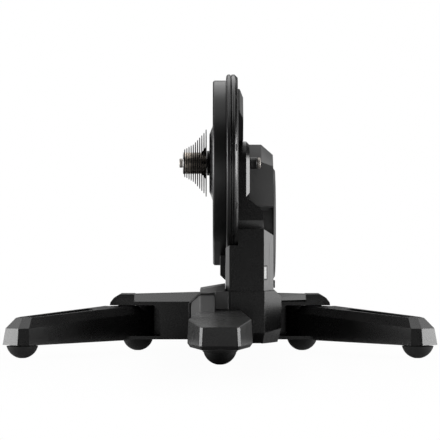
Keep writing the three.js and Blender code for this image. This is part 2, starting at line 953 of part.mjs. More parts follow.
// Upright: the bearing arm with its heel round the flywheel shaft, and the pillar in front
const armPoints = [];
const armTurnEnd = 0.2;
const armSteps = 14;
for (let i = 0; i <= armSteps; i += 1) {
  const angle = Math.PI + (i / armSteps) * (armTurnEnd - Math.PI);
  armPoints.push([armRadius * Math.cos(angle), axleHeight + armRadius * Math.sin(angle)]);
}
const heelTurnStart = 0.7;
const heelTurnEnd = -1.2;
const heelSteps = 8;
for (let i = 0; i <= heelSteps; i += 1) {
  const angle = heelTurnStart + (i / heelSteps) * (heelTurnEnd - heelTurnStart);
  armPoints.push([
    shaftY + armHeelRadius * Math.cos(angle),
    shaftZ + armHeelRadius * Math.sin(angle),
  ]);
}
armPoints.push([pillarBack, pillarBottom], [-armRadius, pillarBottom]);
const arm = loft([
  atX(armPoints, armLeft),
  atX(armPoints, armChamferLeft),
  atX(inset(armPoints, armChamfer), armRight),
]);
const pillarShape = new THREE.Shape();
const coveTop = pillarShoulder + pillarCove;
pillarShape.moveTo(pillarFront, pillarBottom);
pillarShape.lineTo(pillarBack, pillarBottom);
pillarShape.lineTo(pillarBack, pillarShoulder);
pillarShape.lineTo(0, coveTop);
pillarShape.lineTo(-armRadius, coveTop);
pillarShape.quadraticCurveTo(-armRadius, pillarShoulder, pillarFront, pillarShoulder);
pillarShape.closePath();
const barrelClear = disc(
  barrelRadius + seam,
  housingLeft - seam,
  roundCoverRight + past,
  shaftY,
  shaftZ,
  44,
);
const shoulderClear = block(
  housingLeft - seam,
  roundCoverRight,
  housingFront - seam,
  pillarBack + past,
  shaftZ,
  coveTop + past,
);
const casingClear = disc(rimRadius + seam, casingLeft - past, armLeft, 0, axleHeight, 52);
const webClear = sidePlate(
  loopRound(coverRadius + seam, bearingBossRadius + seam),
  casingLeft - past,
  armLeft,
  0,
  28,
);
const electronicsBay = block(
  armRight,
  pillarRight + past,
  pillarFront + electronicsWall,
  bayBack,
  pillarBottom + electronicsWall,
  pillarShoulder - electronicsWall,
);
add(
  "pillar",
  cut(
    join(arm, sidePlate(pillarShape, pillarLeft, pillarRight, 0, 6)),
    casingClear,
    webClear,
    barrelClear,
    shoulderClear,
    electronicsBay,
    disc(hubHole, armLeft - past, armRight + past, 0, axleHeight, 20),
    disc(bearingSeat, armRight - 2 * bearingDepth, armRight + past, 0, axleHeight, 28),
    disc(shaftHole, armLeft - past, armRight + past, shaftY, shaftZ, 20),
    disc(shaftBearingSeat, armRight - 2 * bearingDepth, armRight + past, shaftY, shaftZ, 28),
  ),
  blackCasting,
);
const armBearingLeft = armRight - 2 * bearingDepth + seam;
const armBearingRight = armBearingLeft + bearingDepth;
add(
  "hub_bearing_right",
  ring(hubRadius + seam, hubBearingRadius, armBearingLeft, armBearingRight, 0, axleHeight, 18),
  steel,
);
add(
  "flywheel_bearing_right",
  ring(
    shaftRadius + seam,
    flywheelBearingRadius,
    armBearingLeft,
    armBearingRight,
    shaftY,
    shaftZ,
    18,
  ),
  steel,
);

// Covers of the pillar
const sideCoverLeft = pillarRight + seam;
const sideCoverTopDrop = 12;
const sideCoverBlankTop = pillarShoulder + 5;
const sideCoverPlan = outline([
  [sideCoverLeft, pillarFront],
  [sideCoverRight, pillarFront + sideCoverFacet],
  [sideCoverRight, pillarBack],
  [sideCoverLeft, pillarBack],
]);
const slantedTop = frontPlate(
  outline([
    [sideCoverLeft - past, pillarShoulder],
    [sideCoverRight + past, pillarShoulder - sideCoverTopDrop],
    [sideCoverRight + past, sideCoverBlankTop + past],
    [sideCoverLeft - past, sideCoverBlankTop + past],
  ]),
  pillarFront - past,
  pillarBack + past,
);
const lensTop = lensBottom + lensHeight;
const facetSlope = (sideCoverRight - sideCoverLeft) / sideCoverFacet;
const lensLength = lensDepth / facetSlope;
const lensPocket = block(
  sideCoverLeft - past,
  sideCoverLeft + lensDepth + seam,
  pillarFront - past,
  pillarFront + lensLength + seam,
  lensBottom - seam,
  lensTop + seam,
);
const boardPocket = block(
  sideCoverLeft - past,
  sideCoverRight - electronicsWall,
  pillarFront + 4 * electronicsWall,
  bayBack,
  pillarBottom + electronicsWall,
  pillarShoulder - 3 * electronicsWall,
);
add(
  "pillar_side_cover",
  cut(
    floorPlate(sideCoverPlan, pillarBottom, sideCoverBlankTop),
    slantedTop,
    barrelClear,
    lensPocket,
    boardPocket,
  ),
  greyPlastic,
);
add(
  "status_lens",
  floorPlate(
    outline([
      [sideCoverLeft, pillarFront],
      [sideCoverLeft + lensDepth, pillarFront + lensLength],
      [sideCoverLeft, pillarFront + lensLength],
    ]),
    lensBottom,
    lensTop,
  ),
  lensClear,
);
add(
  "circuit_board",
  block(
    armRight + electronicsWall,
    armRight + electronicsWall + boardThickness,
    pillarFront + electronicsWall + seam,
    bayBack - seam,
    pillarBottom + electronicsWall + seam,
    pillarShoulder - electronicsWall - seam,
  ),
  boardGreen,
);
const leftCoverRight = pillarLeft - seam;
const leftCoverTop = axleHeight - rimRadius + leftCoverRise;
add(
  "pillar_left_cover",
  cut(
    floorPlate(
      outline([
        [leftCoverLeft, pillarFront + leftCoverChamfer],
        [leftCoverRight - leftCoverFace, pillarFront],
        [leftCoverRight, pillarFront],
        [leftCoverRight, pillarBack],
        [leftCoverLeft, pillarBack],
      ]),
      pillarBottom,
      leftCoverTop,
    ),
    casingClear,
    sidePlate(
      loopRound(coverRadius + seam, coverLobeRadius + seam),
      leftCoverLeft - past,
      pillarLeft,
      0,
      20,
    ),
  ),
  blackPlastic,
);
const inletTop = inletBottom + inletHeight;
const inletLeft = sideCoverRight + seam;
add(
  "power_inlet",
  cut(
    block(
      inletLeft,
      inletLeft + inletThickness,
      inletY - inletHalf,
      inletY + inletHalf,
      inletBottom,
      inletTop,
    ),
    disc(
      inletHole,
      inletLeft + past,
      inletLeft + inletThickness + past,
      inletY,
      (inletBottom + inletTop) / 2,
      14,
    ),
  ),
  blackPlastic,
);

// Carry handle
const handleLeft = casingRight + seam;
const handlePoints = [
  [-handleTopHalf, axleHeight + handleTop],
  [-handleWideHalf, axleHeight + handleWide],
  [-handleFootHalf, axleHeight + handleFoot],
  [handleFootHalf, axleHeight + handleFoot],
  [handleWideHalf, axleHeight + handleWide],
  [handleTopHalf, axleHeight + handleTop],
];
const fingerGap = inset(handlePoints, handleBar);
add(
  "carry_handle",
  cut(
    sidePlate(outline(handlePoints), handleLeft, handleLeft + handleThickness, handleBevel),
    sidePlate(outline(fingerGap), handleLeft - past, handleLeft + handleThickness + past),
  ),
  greyPlastic,
);

// Base under the pillar, ribbed underneath
const baseBack = barFront - seam;
const baseSection = [
  [baseLeft + baseLeftEdge, baseBottom],
  [baseRight - baseRightEdge, baseBottom],
  [baseRight, baseBottom + baseRightEdge],
  [baseRight, baseTop - baseShoulder],
  [sideCoverRight + baseCrownLip, baseTop],
  [baseCrownLeft, baseTop],
  [rampCorner, baseTop - rampCornerDrop],
  [baseLeft, baseTop - baseFall],
  [baseLeft, baseBottom + baseLeftEdgeHeight],
];
const pocketTop = baseTop - basePocketRoof;
const basePockets = [];
const pocketDepth = (baseBack - baseFront - 3 * baseWall) / 2;
const pocketSpan = baseRight - baseLeft - basePocketLeft - basePocketRight;
const pocketWidth = (pocketSpan - 3 * baseWall) / 2;
for (let i = 0; i < 2; i += 1) {
  for (let j = 0; j < 2; j += 1) {
    const x = baseLeft + basePocketLeft + baseWall + i * (pocketWidth + baseWall);
    const y = baseFront + baseWall + j * (pocketDepth + baseWall);
    basePockets.push(
      block(x, x + pocketWidth, y, y + pocketDepth, baseBottom - past, pocketTop),
    );
  }
}
function atY(points, y) {
  return points.map(([x, z]) => [x, y, z]);
}
add(
  "base",
  cut(loft([atY(baseSection, baseFront), atY(baseSection, baseBack)]), ...basePockets),
  blackCasting,
);

// Front leg and nose
const frontLegRear = baseFront - seam;
function legRing({ y, corners }) {
  return atY([...corners, ...mirrored([...corners].reverse())], y);
}
// Each ring goes up the right side: sole, flank, shoulder and crown
const noseRing = {
  y: noseFront,
  corners: [
    [noseHalf - 1, noseBottom],
    [noseHalf, noseBottom + 3],
    [noseHalf, noseTop - 2],
    [noseHalf - 2, noseTop],
  ],
};
const noseShoulderRing = {
  y: noseFront + noseEdge,
  corners: [
    [noseHalf + noseEdge - 1, noseBottom - 1],
    [noseHalf + noseEdge, noseBottom + 3],
    [noseHalf + noseEdge, noseTop - 1],
    [noseHalf + noseEdge - 3, noseTop + 1],
  ],
};
const wideRing = {
  y: frontLegWideY,
  corners: [
    [frontLegHalf - 2, baseBottom],
    [frontLegHalf, noseBottom],
    [frontLegHalf - 2, noseTop + 2],
    [frontLegHalf - 6, noseTop + 9],
  ],
};
const rearRing = {
  y: frontLegRear,
  corners: [
    [frontLegHalf + 2, baseBottom],
    [frontLegHalf + 3, noseBottom],
    [frontLegHalf + 1, noseTop + 1],
    [frontLegHalf - 19, frontLegRearTop],
  ],
};
const frontLegSkin = loft([noseRing, noseShoulderRing, wideRing, rearRing].map(legRing));
const footTop = baseBottom - seam;
const footRingTop = noseTop - noseFootSink;
const dishTop = frontLegRearTop + past;
function dishRing(y, bottom) {
  return atY([[-dishHalf, bottom], [dishHalf, bottom], [dishHalf, dishTop], [-dishHalf, dishTop]], y);
}
const dishFront = noseFront + dishSetback;
const dish = loft([
  dishRing(dishFront, noseTop - dishDrop),
  dishRing(dishFront + dishLength, noseTop + dishRise),
]);
const legPocketHalf = frontLegHalf - legPocketInset;
const frontLegPockets = Array.from({ length: frontPocketCount }, (_, i) => {
  const back = frontLegRear - baseWall - i * (frontPocketDepth + baseWall);
  return block(
    -legPocketHalf,
    legPocketHalf,
    back - frontPocketDepth,
    back,
    baseBottom - past,
    noseTop - legPocketRoof,
  );
});
add(
  "front_leg",
  cut(
    join(frontLegSkin, post(footRingRadius, baseBottom, footRingTop, 0, frontFootY, 32)),
    dish,
    ...frontLegPockets,
  ),
  blackCasting,
);

// Ramp cover that climbs from the front leg to the top of the base on its left
function rampRing({ y, left, crest, cornerDrop, fall }) {
  const section = [
    [rampRight, rampUnderside],
    [rampRight, crest],
    [rampCorner, crest - cornerDrop],
    [left, crest - fall],
    [left, rampUnderside],
  ];
  return atY(section, y);
}
const rampFoot = {
  y: frontLegWideY + rampSetback,
  left: baseLeft + rampNarrow,
  crest: rampFootTop,
  cornerDrop: 0.5,
  fall: 5,
};
const rampBreak = {
  y: frontLegRear - rampSteep,
  left: baseLeft,
  crest: rampBreakTop,
  cornerDrop: 2,
  fall: 15,
};
const rampHead = {
  y: frontLegRear,
  left: baseLeft,
  crest: baseTop,
  cornerDrop: rampCornerDrop,
  fall: baseFall,
};
const rampSkin = loft([rampFoot, rampBreak, rampHead].map(rampRing));
const raisedLeg = frontLegSkin.clone();
raisedLeg.translate(0, 0, seam);
add("ramp_cover", cut(rampSkin, raisedLeg), greyPlastic);

// Crossbar with an open slot in each end for a folding leg
const barSection = outline([
  [barFront, baseBottom],
  [barBack, baseBottom],
  [barBack, barTop - barRearChamfer],
  [barBack - barRearChamfer, barTop],
  [barFront + barChamferDepth, barTop],
  [barFront, barTop - barChamferHeight],
]);
const sides = [-1, 1];
function spanX(side, x0, x1) {
  return side > 0 ? [x0, x1] : [-x1, -x0];
}
const capSeat = barTop - capThickness;
const crossbarTools = [];
sides.forEach((side) => {
  const [slotLeft, slotRight] = spanX(side, slotInner, barHalfLength + past);
  crossbarTools.push(
    block(slotLeft, slotRight, barFront - past, barBack - barWeb, slotBottom, slotTop),
  );
  const [seatLeft, seatRight] = spanX(side, capInner - seam, barHalfLength + past);
  crossbarTools.push(
    block(seatLeft, seatRight, barFront - past, barBack + past, capSeat - seam, barTop + past),
  );
  crossbarTools.push(
    post(pinRadius + seam, baseBottom - past, barTop + past, side * hingeX, hingeY, 20),
  );
});
const barPocketPitch = (2 * slotInner - baseWall) / barPockets;
for (let i = 0; i < barPockets; i += 1) {
  const left = baseWall - slotInner + i * barPocketPitch;
  crossbarTools.push(
    block(
      left,
      left + barPocketPitch - baseWall,
      barFront + baseWall,
      barBack - baseWall,
      baseBottom - past,
      barTop - barChamferHeight - baseWall,
    ),
  );
}
add(
  "crossbar",
  cut(sidePlate(barSection, -barHalfLength, barHalfLength), ...crossbarTools),
  blackCasting,
);
sides.forEach((side) => {
  const word = side < 0 ? "left" : "right";
  const section = [
    [capInner, capSeat],
    [barHalfLength + seam, capSeat],
    [barHalfLength + seam, slotTop],
    [capHalfLength, slotTop],
    [capHalfLength - capTaper, slotTop + capShoulderRise],
    [capHalfLength - capCorner / 2, barTop - capShoulderDrop],
    [capHalfLength - capCorner - capCrownInset, barTop],
    [capInner, barTop],
  ];
  const shape = outline(side < 0 ? mirrored(section) : section);
  add(`hinge_cap_${word}`, frontPlate(shape, barFront, barBack), blackPlastic);
  const pin = upright(
    [
      [0, baseBottom],
      [pinRadius, baseBottom],
      [pinRadius, capSeat - 2 * seam],
      [0, capSeat - 2 * seam],
    ],
    side * hingeX,
    hingeY,
    20,
  );
  add(`hinge_pin_${word}`, pin, steel);
});

// Feet
const footSteps = 7;
const footBase = Math.acos((footRadius - footFlat) / footRadius);
const footMouth = Math.acos((footRadius - footTop - footFlat) / footRadius);
const footProfile = [[0, 0]];
for (let i = 0; i <= footSteps; i += 1) {
  const angle = footBase + ((footMouth - footBase) * i) / footSteps;
  footProfile.push([
    footRadius * Math.sin(angle),
    footRadius * (1 - Math.cos(angle)) - footFlat,
  ]);
}
footProfile.push([0, footTop]);
function foot(x, y) {
  return upright(footProfile, x, y, 22);
}
add("front_foot", foot(0, frontFootY), rubber);
add("inner_foot_left", foot(-hingeX, hingeY), rubber);
add("inner_foot_right", foot(hingeX, hingeY), rubber);

// Folding legs, drawn along +X from their hinge
function legTopAt(u) {
  const reach = legFootReach + legTipReach - legTipChamfer;
  return legEyeTop - ((legEyeTop - legTipTop) * u) / reach;
}
function legSection(u, half, side, top, chamfer) {
  return [
    [u, -half, baseBottom],
    [u, half, baseBottom],
    [u, half, side],
    [u, half - chamfer, top],
    [u, chamfer - half, top],
    [u, -half, side],
  ];
}
function recessRing(u) {
  const top = legTopAt(u);
  return [
    [u, -inlayHalf, top - inlayDepth],
    [u, inlayHalf, top - inlayDepth],
    [u, inlayHalf, top + past],
    [u, -inlayHalf, top + past],
  ];
}
function inlayRing(u) {
  const half = inlayHalf - seam;
  const top = legTopAt(u);
  return [
    [u, -half, top - inlayDepth + seam],
    [u, half, top - inlayDepth + seam],
    [u, half, top - inlaySunk],
    [u, -half, top - inlaySunk],
  ];
}
const legTip = legFootReach + legTipReach;
const eyeBottom = slotBottom + running;
function legBody() {
  const skin = loft([
    legSection(0, legEyeRadius - 1, legEyeSide, legEyeTop, legChamfer),
    legSection(legTip - legTipChamfer, legTipHalf, legTipSide, legTipTop, legChamfer),
    legSection(legTip - legTipStep, legTipHalf - 0.5, legTipSide, legTipSide + legTipRise, 5),
    legSection(legTip, legTipHalf - legTipNarrow, legTipSide - 0.5, legTipSide, 1),
  ]);
  const pocketHalf = legTipHalf - baseWall;
  const pockets = Array.from({ length: legPocketCount }, (_, i) => {
    const u = legRelief + legPocketStart + i * (legPocketLength + baseWall);
    return block(u, u + legPocketLength, -pocketHalf, pocketHalf, 0, legTipSide - legPocketRoof);
  });
  const eyeRoom = legEyeRadius + past;
  return cut(
    join(skin, post(legEyeRadius, baseBottom, legEyeTop, 0, 0, 32)),
    block(-eyeRoom, legRelief, -eyeRoom, eyeRoom, 0, eyeBottom),
    loft([recessRing(inlayStart), recessRing(inlayEnd)]),
    post(pinRadius + seam, 0, legEyeTop + past, 0, 0, 20),
    ...pockets,
  );
}
sides.forEach((side) => {
  const word = side < 0 ? "left" : "right";
  const leg = new THREE.Group();
  leg.position.set(side * hingeX, hingeY, 0);
  leg.rotation.z = THREE.MathUtils.degToRad(-90 + side * legAngle);
  trainer.add(leg);
  add(`leg_${word}`, legBody(), blackCasting, leg);
  const inlay = loft([inlayRing(inlayStart + seam), inlayRing(inlayEnd - seam)]);
  add(`leg_inlay_${word}`, inlay, blackPlastic, leg);
  add(`outer_foot_${word}`, foot(legFootReach, 0), rubber, leg);
});

const rearMost = shaftY + roundCoverRadius;
trainer.position.y = -(noseFront + rearMost) / 2;

export default trainer;
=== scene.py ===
# %% [markdown]
# # Dressing a direct drive bike trainer
# The bicycle's rear wheel comes off and its frame sits on the trainer's own axle and cassette.
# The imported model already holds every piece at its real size, with the joints that let the
# flywheel, the freehub and the two legs move. This lesson loads that frame and gives each piece
# its finished shape and surface. X runs along the axle, the bicycle stands towards -Y, Z is up.

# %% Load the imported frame
import json
import math
from collections import namedtuple

import bmesh
import bpy
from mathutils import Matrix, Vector


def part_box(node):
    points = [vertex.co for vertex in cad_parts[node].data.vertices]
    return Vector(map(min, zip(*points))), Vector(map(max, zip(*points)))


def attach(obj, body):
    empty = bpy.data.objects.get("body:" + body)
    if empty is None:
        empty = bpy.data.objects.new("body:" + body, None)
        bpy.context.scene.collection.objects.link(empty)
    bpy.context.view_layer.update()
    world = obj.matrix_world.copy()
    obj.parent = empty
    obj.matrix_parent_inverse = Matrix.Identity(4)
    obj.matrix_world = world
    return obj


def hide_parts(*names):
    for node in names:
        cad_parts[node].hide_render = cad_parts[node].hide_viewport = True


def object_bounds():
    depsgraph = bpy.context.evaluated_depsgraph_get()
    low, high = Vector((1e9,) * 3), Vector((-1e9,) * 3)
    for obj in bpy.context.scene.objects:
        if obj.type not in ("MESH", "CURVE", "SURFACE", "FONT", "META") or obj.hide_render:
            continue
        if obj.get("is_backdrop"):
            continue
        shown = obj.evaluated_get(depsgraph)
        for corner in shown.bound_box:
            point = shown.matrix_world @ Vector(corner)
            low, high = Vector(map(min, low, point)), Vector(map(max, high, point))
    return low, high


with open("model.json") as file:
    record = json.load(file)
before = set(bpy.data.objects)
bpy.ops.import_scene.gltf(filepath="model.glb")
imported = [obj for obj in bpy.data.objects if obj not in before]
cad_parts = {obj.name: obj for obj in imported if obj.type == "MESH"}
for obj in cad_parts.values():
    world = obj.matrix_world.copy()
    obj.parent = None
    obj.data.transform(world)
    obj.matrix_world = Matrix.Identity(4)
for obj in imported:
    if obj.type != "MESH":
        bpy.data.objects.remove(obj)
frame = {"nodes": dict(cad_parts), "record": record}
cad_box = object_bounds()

mm = 0.001
print("nodes:", len(frame["nodes"]))
print("CAD box:", [round(v, 4) for v in (*cad_box[0], *cad_box[1])])

# %% [markdown]
# ## The places that everything hangs on
# Two lines along X carry the whole drive: the axle and the flywheel shaft behind and below it.
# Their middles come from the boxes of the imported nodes, so nothing has to be fitted by eye. All
# lengths are in millimetres, as in a workshop, and turn into metres where a mesh is made.


# %% Axle and shaft lines
Place = namedtuple("Place", "x y z")


def box(node):
    return [Place(*(c / mm for c in corner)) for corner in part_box(node)]


def middle(node):
    low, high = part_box(node)
    return Place(*(c / mm for c in (low + high) / 2))


axle = middle("axle")
shaft = middle("flywheel_shaft")
print("axle line:", round(axle.y, 1), round(axle.z, 1), "shaft line:", round(shaft.y, 1), round(shaft.z, 1))

# %% [markdown]
# ## Camera
# The photograph was taken from straight in front, level with the lower part of the casing, with
# a long lens. A long lens flattens the depth, so the rear crossbar is only a little smaller than
# the nose. The camera's distance is measured from the axle, which is the part's fixed point.

# %% Photograph's camera
camera_distance = 4200
camera_height = 234.5
sensor_width = 36.0
millimetres_per_pixel = 1.75
frame_pixels = 440

camera_data = bpy.data.cameras.new("photo_camera")
camera_data.sensor_width = sensor_width
camera_data.lens = sensor_width * camera_distance / (frame_pixels * millimetres_per_pixel)
camera_data.clip_start = 0.1
camera_data.clip_end = 60
camera = bpy.data.objects.new("photo_camera", camera_data)
camera.location = (0, (axle.y - camera_distance) * mm, camera_height * mm)
camera.rotation_euler = (math.radians(90), 0, 0)
bpy.context.scene.collection.objects.link(camera)
bpy.context.scene.camera = camera
print("lens:", round(camera_data.lens, 1), "mm")

# %% [markdown]
# ## Shader maths as plain expressions
# A surface pattern is arithmetic on values that vary from point to point. Wiring Math nodes by
# hand hides that arithmetic, so one small class stands for an output socket and lets Python's
# operators add the nodes. Colours and vectors keep their channels by going through Mix nodes.
# Numbers that are the same all over a surface never enter the tree: they are set on the shader.


# %% A socket that can be added, multiplied and compared
def operator(operation, reflected=False):
    def apply(self, other):
        return self.nodes.math(operation, *((other, self) if reflected else (self, other)))

    return apply


class Varying:
    """A value that changes over a surface, read from one output socket."""

    def __init__(self, nodes, socket):
        self.nodes = nodes
        self.socket = socket

    __add__ = operator("ADD")
    __radd__ = operator("ADD", True)
    __sub__ = operator("SUBTRACT")
    __rsub__ = operator("SUBTRACT", True)
    __mul__ = operator("MULTIPLY")
    __rmul__ = operator("MULTIPLY", True)
    __pow__ = operator("POWER")
    __lt__ = operator("LESS_THAN")


class Nodes:
    """A node tree that is built by one method."""

    def __init__(self, tree):
        self.tree = tree

    def node(self, kind, settings=None, inputs=None, output=0):
        made = self.tree.nodes.new(kind)
        for key, value in (settings or {}).items():
            setattr(made, key, value)
        for key, value in (inputs or {}).items():
            self.feed(made.inputs[key], value)
        return Varying(self, made.outputs[output])

    def math(self, operation, first, second=0.0):
        return self.node("ShaderNodeMath", {"operation": operation}, {0: first, 1: second})

    def step(self, value, start, end, low=0.0, high=1.0):
        """A soft step from low to high while the value goes from start to end."""
        sockets = {"Value": value, "From Min": start, "From Max": end, "To Min": low, "To Max": high}
        return self.node("ShaderNodeMapRange", {"interpolation_type": "SMOOTHSTEP"}, sockets)

    def feed(self, socket, value):
        if isinstance(value, Varying):
            self.tree.links.new(value.socket, socket)
        else:
            socket.default_value = value


# %% [markdown]
# A finish is one Principled shader. Grain, dirt and tool marks all start from a few patterns in
# the piece's own coordinates, so the class has a method for each, and one that wires the colour,
# the roughness and the bump which nearly every finish has.


# %% A finish and its patterns
class Finish(Nodes):
    """One material: a Principled shader and the nodes that vary it."""

    def __init__(self, name, shine=0.5, metallic=0.0):
        self.material = bpy.data.materials.new(name)
        self.material.use_nodes = True
        super().__init__(self.material.node_tree)
        self.shader = self.tree.nodes["Principled BSDF"]
        self.set("Specular IOR Level", shine)
        self.set("Metallic", metallic)
        self.coordinates = self.node("ShaderNodeTexCoord", output="Object")

    def set(self, label, value):
        self.feed(self.shader.inputs[label], value)

    def noise(self, size, detail=2.0, rough=0.5, stretch=(1, 1, 1)):
        sockets = {"Vector": self.coordinates, "Scale": stretch}
        place = self.node("ShaderNodeMapping", {"vector_type": "POINT"}, sockets)
        sockets = {"Vector": place, "Scale": 1 / (size * mm), "Detail": detail, "Roughness": rough}
        return self.node("ShaderNodeTexNoise", {}, sockets, "Fac")

    def cells(self, size, feature="F1"):
        sockets = {"Vector": self.coordinates, "Scale": 1 / (size * mm)}
        return self.node("ShaderNodeTexVoronoi", {"feature": feature}, sockets, "Distance")

    def ridges(self, pitch):
        return self.math("SINE", self.part("X") * (6.283 / (pitch * mm))) * 0.5 + 0.5

    def part(self, axis):
        return self.node("ShaderNodeSeparateXYZ", {}, {0: self.coordinates}, axis)

    def blend(self, factor, first, second):
        sockets = {"Factor": factor, 6: first, 7: second}
        return self.node("ShaderNodeMix", {"data_type": "RGBA"}, sockets, 2)

    def wear(self, factor, dark, light, roughness, height, depth, strength=1.0):
        """Colour between two greys, roughness, and a bump that is depth millimetres high."""
        self.set("Base Color", self.blend(factor, dark, light))
        self.set("Roughness", roughness)
        sockets = {"Height": height, "Distance": depth * mm, "Strength": strength}
        self.set("Normal", self.node("ShaderNodeBump", {}, sockets))
        return self.material


def colour(value, warmth=0.0):
    """A near grey as written on a 0 to 255 scale, warmed or cooled a little, in linear light."""
    levels = [value * (1 + tint) / 255 for tint in (warmth, 0, -warmth)]
    return (*(v / 12.92 if v <= 0.04045 else ((v + 0.055) / 1.055) ** 2.4 for v in levels), 1)


print("grey 40 in linear light:", round(colour(40)[1], 4))

# %% [markdown]
# ## Studio
# The photograph has a pure white ground behind a dark object. A dark object shows mostly what it
# reflects, so the room matters more than the lamps. Facets that mirror the ceiling at either
# side are palest, those that mirror the wall and corners behind are pale, and those that mirror
# the camera's side are nearly black. The world has these bands, and to the camera it is white.

# %% World
world = bpy.data.worlds.new("studio")
bpy.context.scene.world = world
world.use_nodes = True
room = Nodes(world.node_tree)
fill = 0.5
dim_room = 0.04
side_ceiling = 3.0
back_band = 1.7
overhead = 0.95
front_wall = 0.04
corner_panels = 1.6

rays = ("Camera", "Glossy", "Transmission")
camera_ray, glossy_ray, clear_ray = (room.node("ShaderNodeLightPath", output=f"Is {ray} Ray") for ray in rays)
direction = room.node("ShaderNodeTexCoord", output="Generated")
aside, back, up = (room.node("ShaderNodeSeparateXYZ", {}, {0: direction}, axis) for axis in "XYZ")
wide = room.step(room.math("ABSOLUTE", aside), 0.3, 0.5)
narrow = 1 - wide
panels = wide * room.step(back, 0.1, 0.5, high=corner_panels) * (1 - room.step(up, 0.2, 0.4))
sides = wide * room.step(up, 0.66, 0.8, high=side_ceiling)
behind = narrow * room.step(back, 0.15, 0.55, high=back_band) * room.step(up, 0.3, 0.5)
front = narrow * room.step(back * -1, 0.3, 0.7, high=front_wall)
above = narrow * room.step(up, 0.75, 0.95, high=overhead)
lit = panels + sides + behind + front + above + dim_room
seen_white = room.math("MAXIMUM", camera_ray, clear_ray)
strength = seen_white + (1 - seen_white) * lit * (glossy_ray + (1 - glossy_ray) * fill)
background = room.node("ShaderNodeBackground", {}, {"Color": (1, 1, 1, 1), "Strength": strength})
room.feed(world.node_tree.nodes["World Output"].inputs["Surface"], background)

# %% [markdown]
# The floor is paper. To the camera it glows white, a little less under the object, so that it
# keeps a soft shadow and runs into the white behind without an edge. In reflections it is dark
# along the middle and pale at the sides, because the photograph's lower facets are dark while
# the flanks of the legs are not.

# %% Floor
floor_half = 6.0
floor_mesh = bpy.data.meshes.new("floor")
floor_corners = [(-1, -1), (1, -1), (1, 1), (-1, 1)]
floor_mesh.from_pydata([(x * floor_half, y * floor_half, 0) for x, y in floor_corners], [], [range(4)])
floor = bpy.data.objects.new("floor", floor_mesh)
bpy.context.scene.collection.objects.link(floor)
floor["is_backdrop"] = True

shadow_reach = 1.2
near_glow = 0.97
lit_paper = 1.4
paper = Finish("white_paper", shine=0.2)
paper.set("Roughness", 0.9)
paper.set("Emission Strength", lit_paper)
sideways = paper.math("ABSOLUTE", paper.part("X"))
pale = paper.step(sideways, 0.06, 0.16, high=0.9)
dark_paper, pale_paper = (0.11, 0.11, 0.11, 1), (0.7, 0.7, 0.7, 1)
paper.set("Base Color", paper.blend(pale + paper.noise(3) * 0.1, dark_paper, pale_paper))
beside = paper.step(sideways, 0.45, 0.75)
paper.set("Emission Color", paper.blend(beside * 0.75 + pale * 0.1, (0, 0, 0, 1), (1, 1, 1, 1)))
distance = paper.node("ShaderNodeVectorMath", {"operation": "LENGTH"}, {0: paper.coordinates}, "Value")
far = paper.step(distance, 0.3, shadow_reach, low=near_glow)
paper_seen = paper.node("ShaderNodeLightPath", output="Is Camera Ray")
glow = paper.node("ShaderNodeEmission", {}, {"Strength": 1.0})
matt = Varying(paper, paper.shader.outputs[0])
surface = paper.node("ShaderNodeMixShader", {}, {0: paper_seen * far, 1: matt, 2: glow})
paper.feed(paper.tree.nodes["Material Output"].inputs["Surface"], surface)
floor_mesh.materials.append(paper.material)

# %% [markdown]
# Three soft lamps do the rest. A low strip in front lifts the faces that look at the camera, and
# a large panel at each side draws the light edges of the castings. They are wide and not very
# bright, so a pale surface still renders about as it is written.


# %% Lamps
def soft_lamp(name, place, width, height, brightness):
    data = bpy.data.lights.new(name, "AREA")
    data.shape = "RECTANGLE"
    data.size = width
    data.size_y = height
    data.energy = brightness * math.pi * width * height
    lamp = bpy.data.objects.new(name, data)
    lamp.location = place
    lamp.rotation_euler = (Vector((0, 0, 0.22)) - Vector(place)).to_track_quat("-Z", "Y").to_euler()
    bpy.context.scene.collection.objects.link(lamp)
    print(name, round(data.energy, 1), "W")


soft_lamp("low_fill", (0, -0.75, 0.02), 0.7, 0.05, 0.8)
soft_lamp("left_lamp", (-2.3, -0.12, 0.45), 0.95, 1.2, 12.0)
soft_lamp("right_lamp", (2.3, -0.12, 0.45), 0.95, 1.2, 12.0)
bpy.context.scene.view_settings.view_transform = "Standard"

# %% [markdown]
# ## Finishes
# The castings of the stand wear a black powder coat. It is even from a step away, but close up
# it has a soft orange peel about a millimetre across and patches that are a little glossier. A
# noise feeds the bump, and a much larger noise moves the roughness and the grey by a few per
# cent, which is enough to keep big flat faces from looking computed.


# %% Powder coat
def powder_coat(name, dark, light):
    finish = Finish(name)
    patches = finish.noise(70, detail=3)
    peel = finish.noise(1.3)
    roughness = 0.22 + patches * 0.06 + peel * 0.05
    return finish.wear(patches, colour(dark), colour(light), roughness, peel, 0.05, 0.5)


# %% [markdown]
# The covers are injection moulded. Their tool was spark eroded, so the plastic carries a fine,
# crisp grain of tiny pits, finer than the powder coat's peel. Cells give pits with sharp rims,
# which a noise alone doesn't. Rubber has a grey bloom that a larger noise gives.


# %% Moulded plastics and rubber
def moulded(name, dark, light, roughness, shine=0.5):
    finish = Finish(name, shine)
    pits = finish.cells(0.9)
    patches = finish.noise(45)
    grain = finish.noise(0.5) + pits * 0.8
    uneven = roughness + patches * 0.06 + pits * 0.08
    return finish.wear(patches, colour(dark), colour(light), uneven, grain, 0.04, 0.25)


def soft_rubber(name, grey, roughness):
    finish = Finish(name, 0.4)
    bloom = finish.noise(12, detail=4, rough=0.6)
    pores = finish.noise(0.8, detail=3)
    return finish.wear(bloom, colour(grey), colour(grey + 9), roughness - bloom * 0.12, pores, 0.05, 0.5)


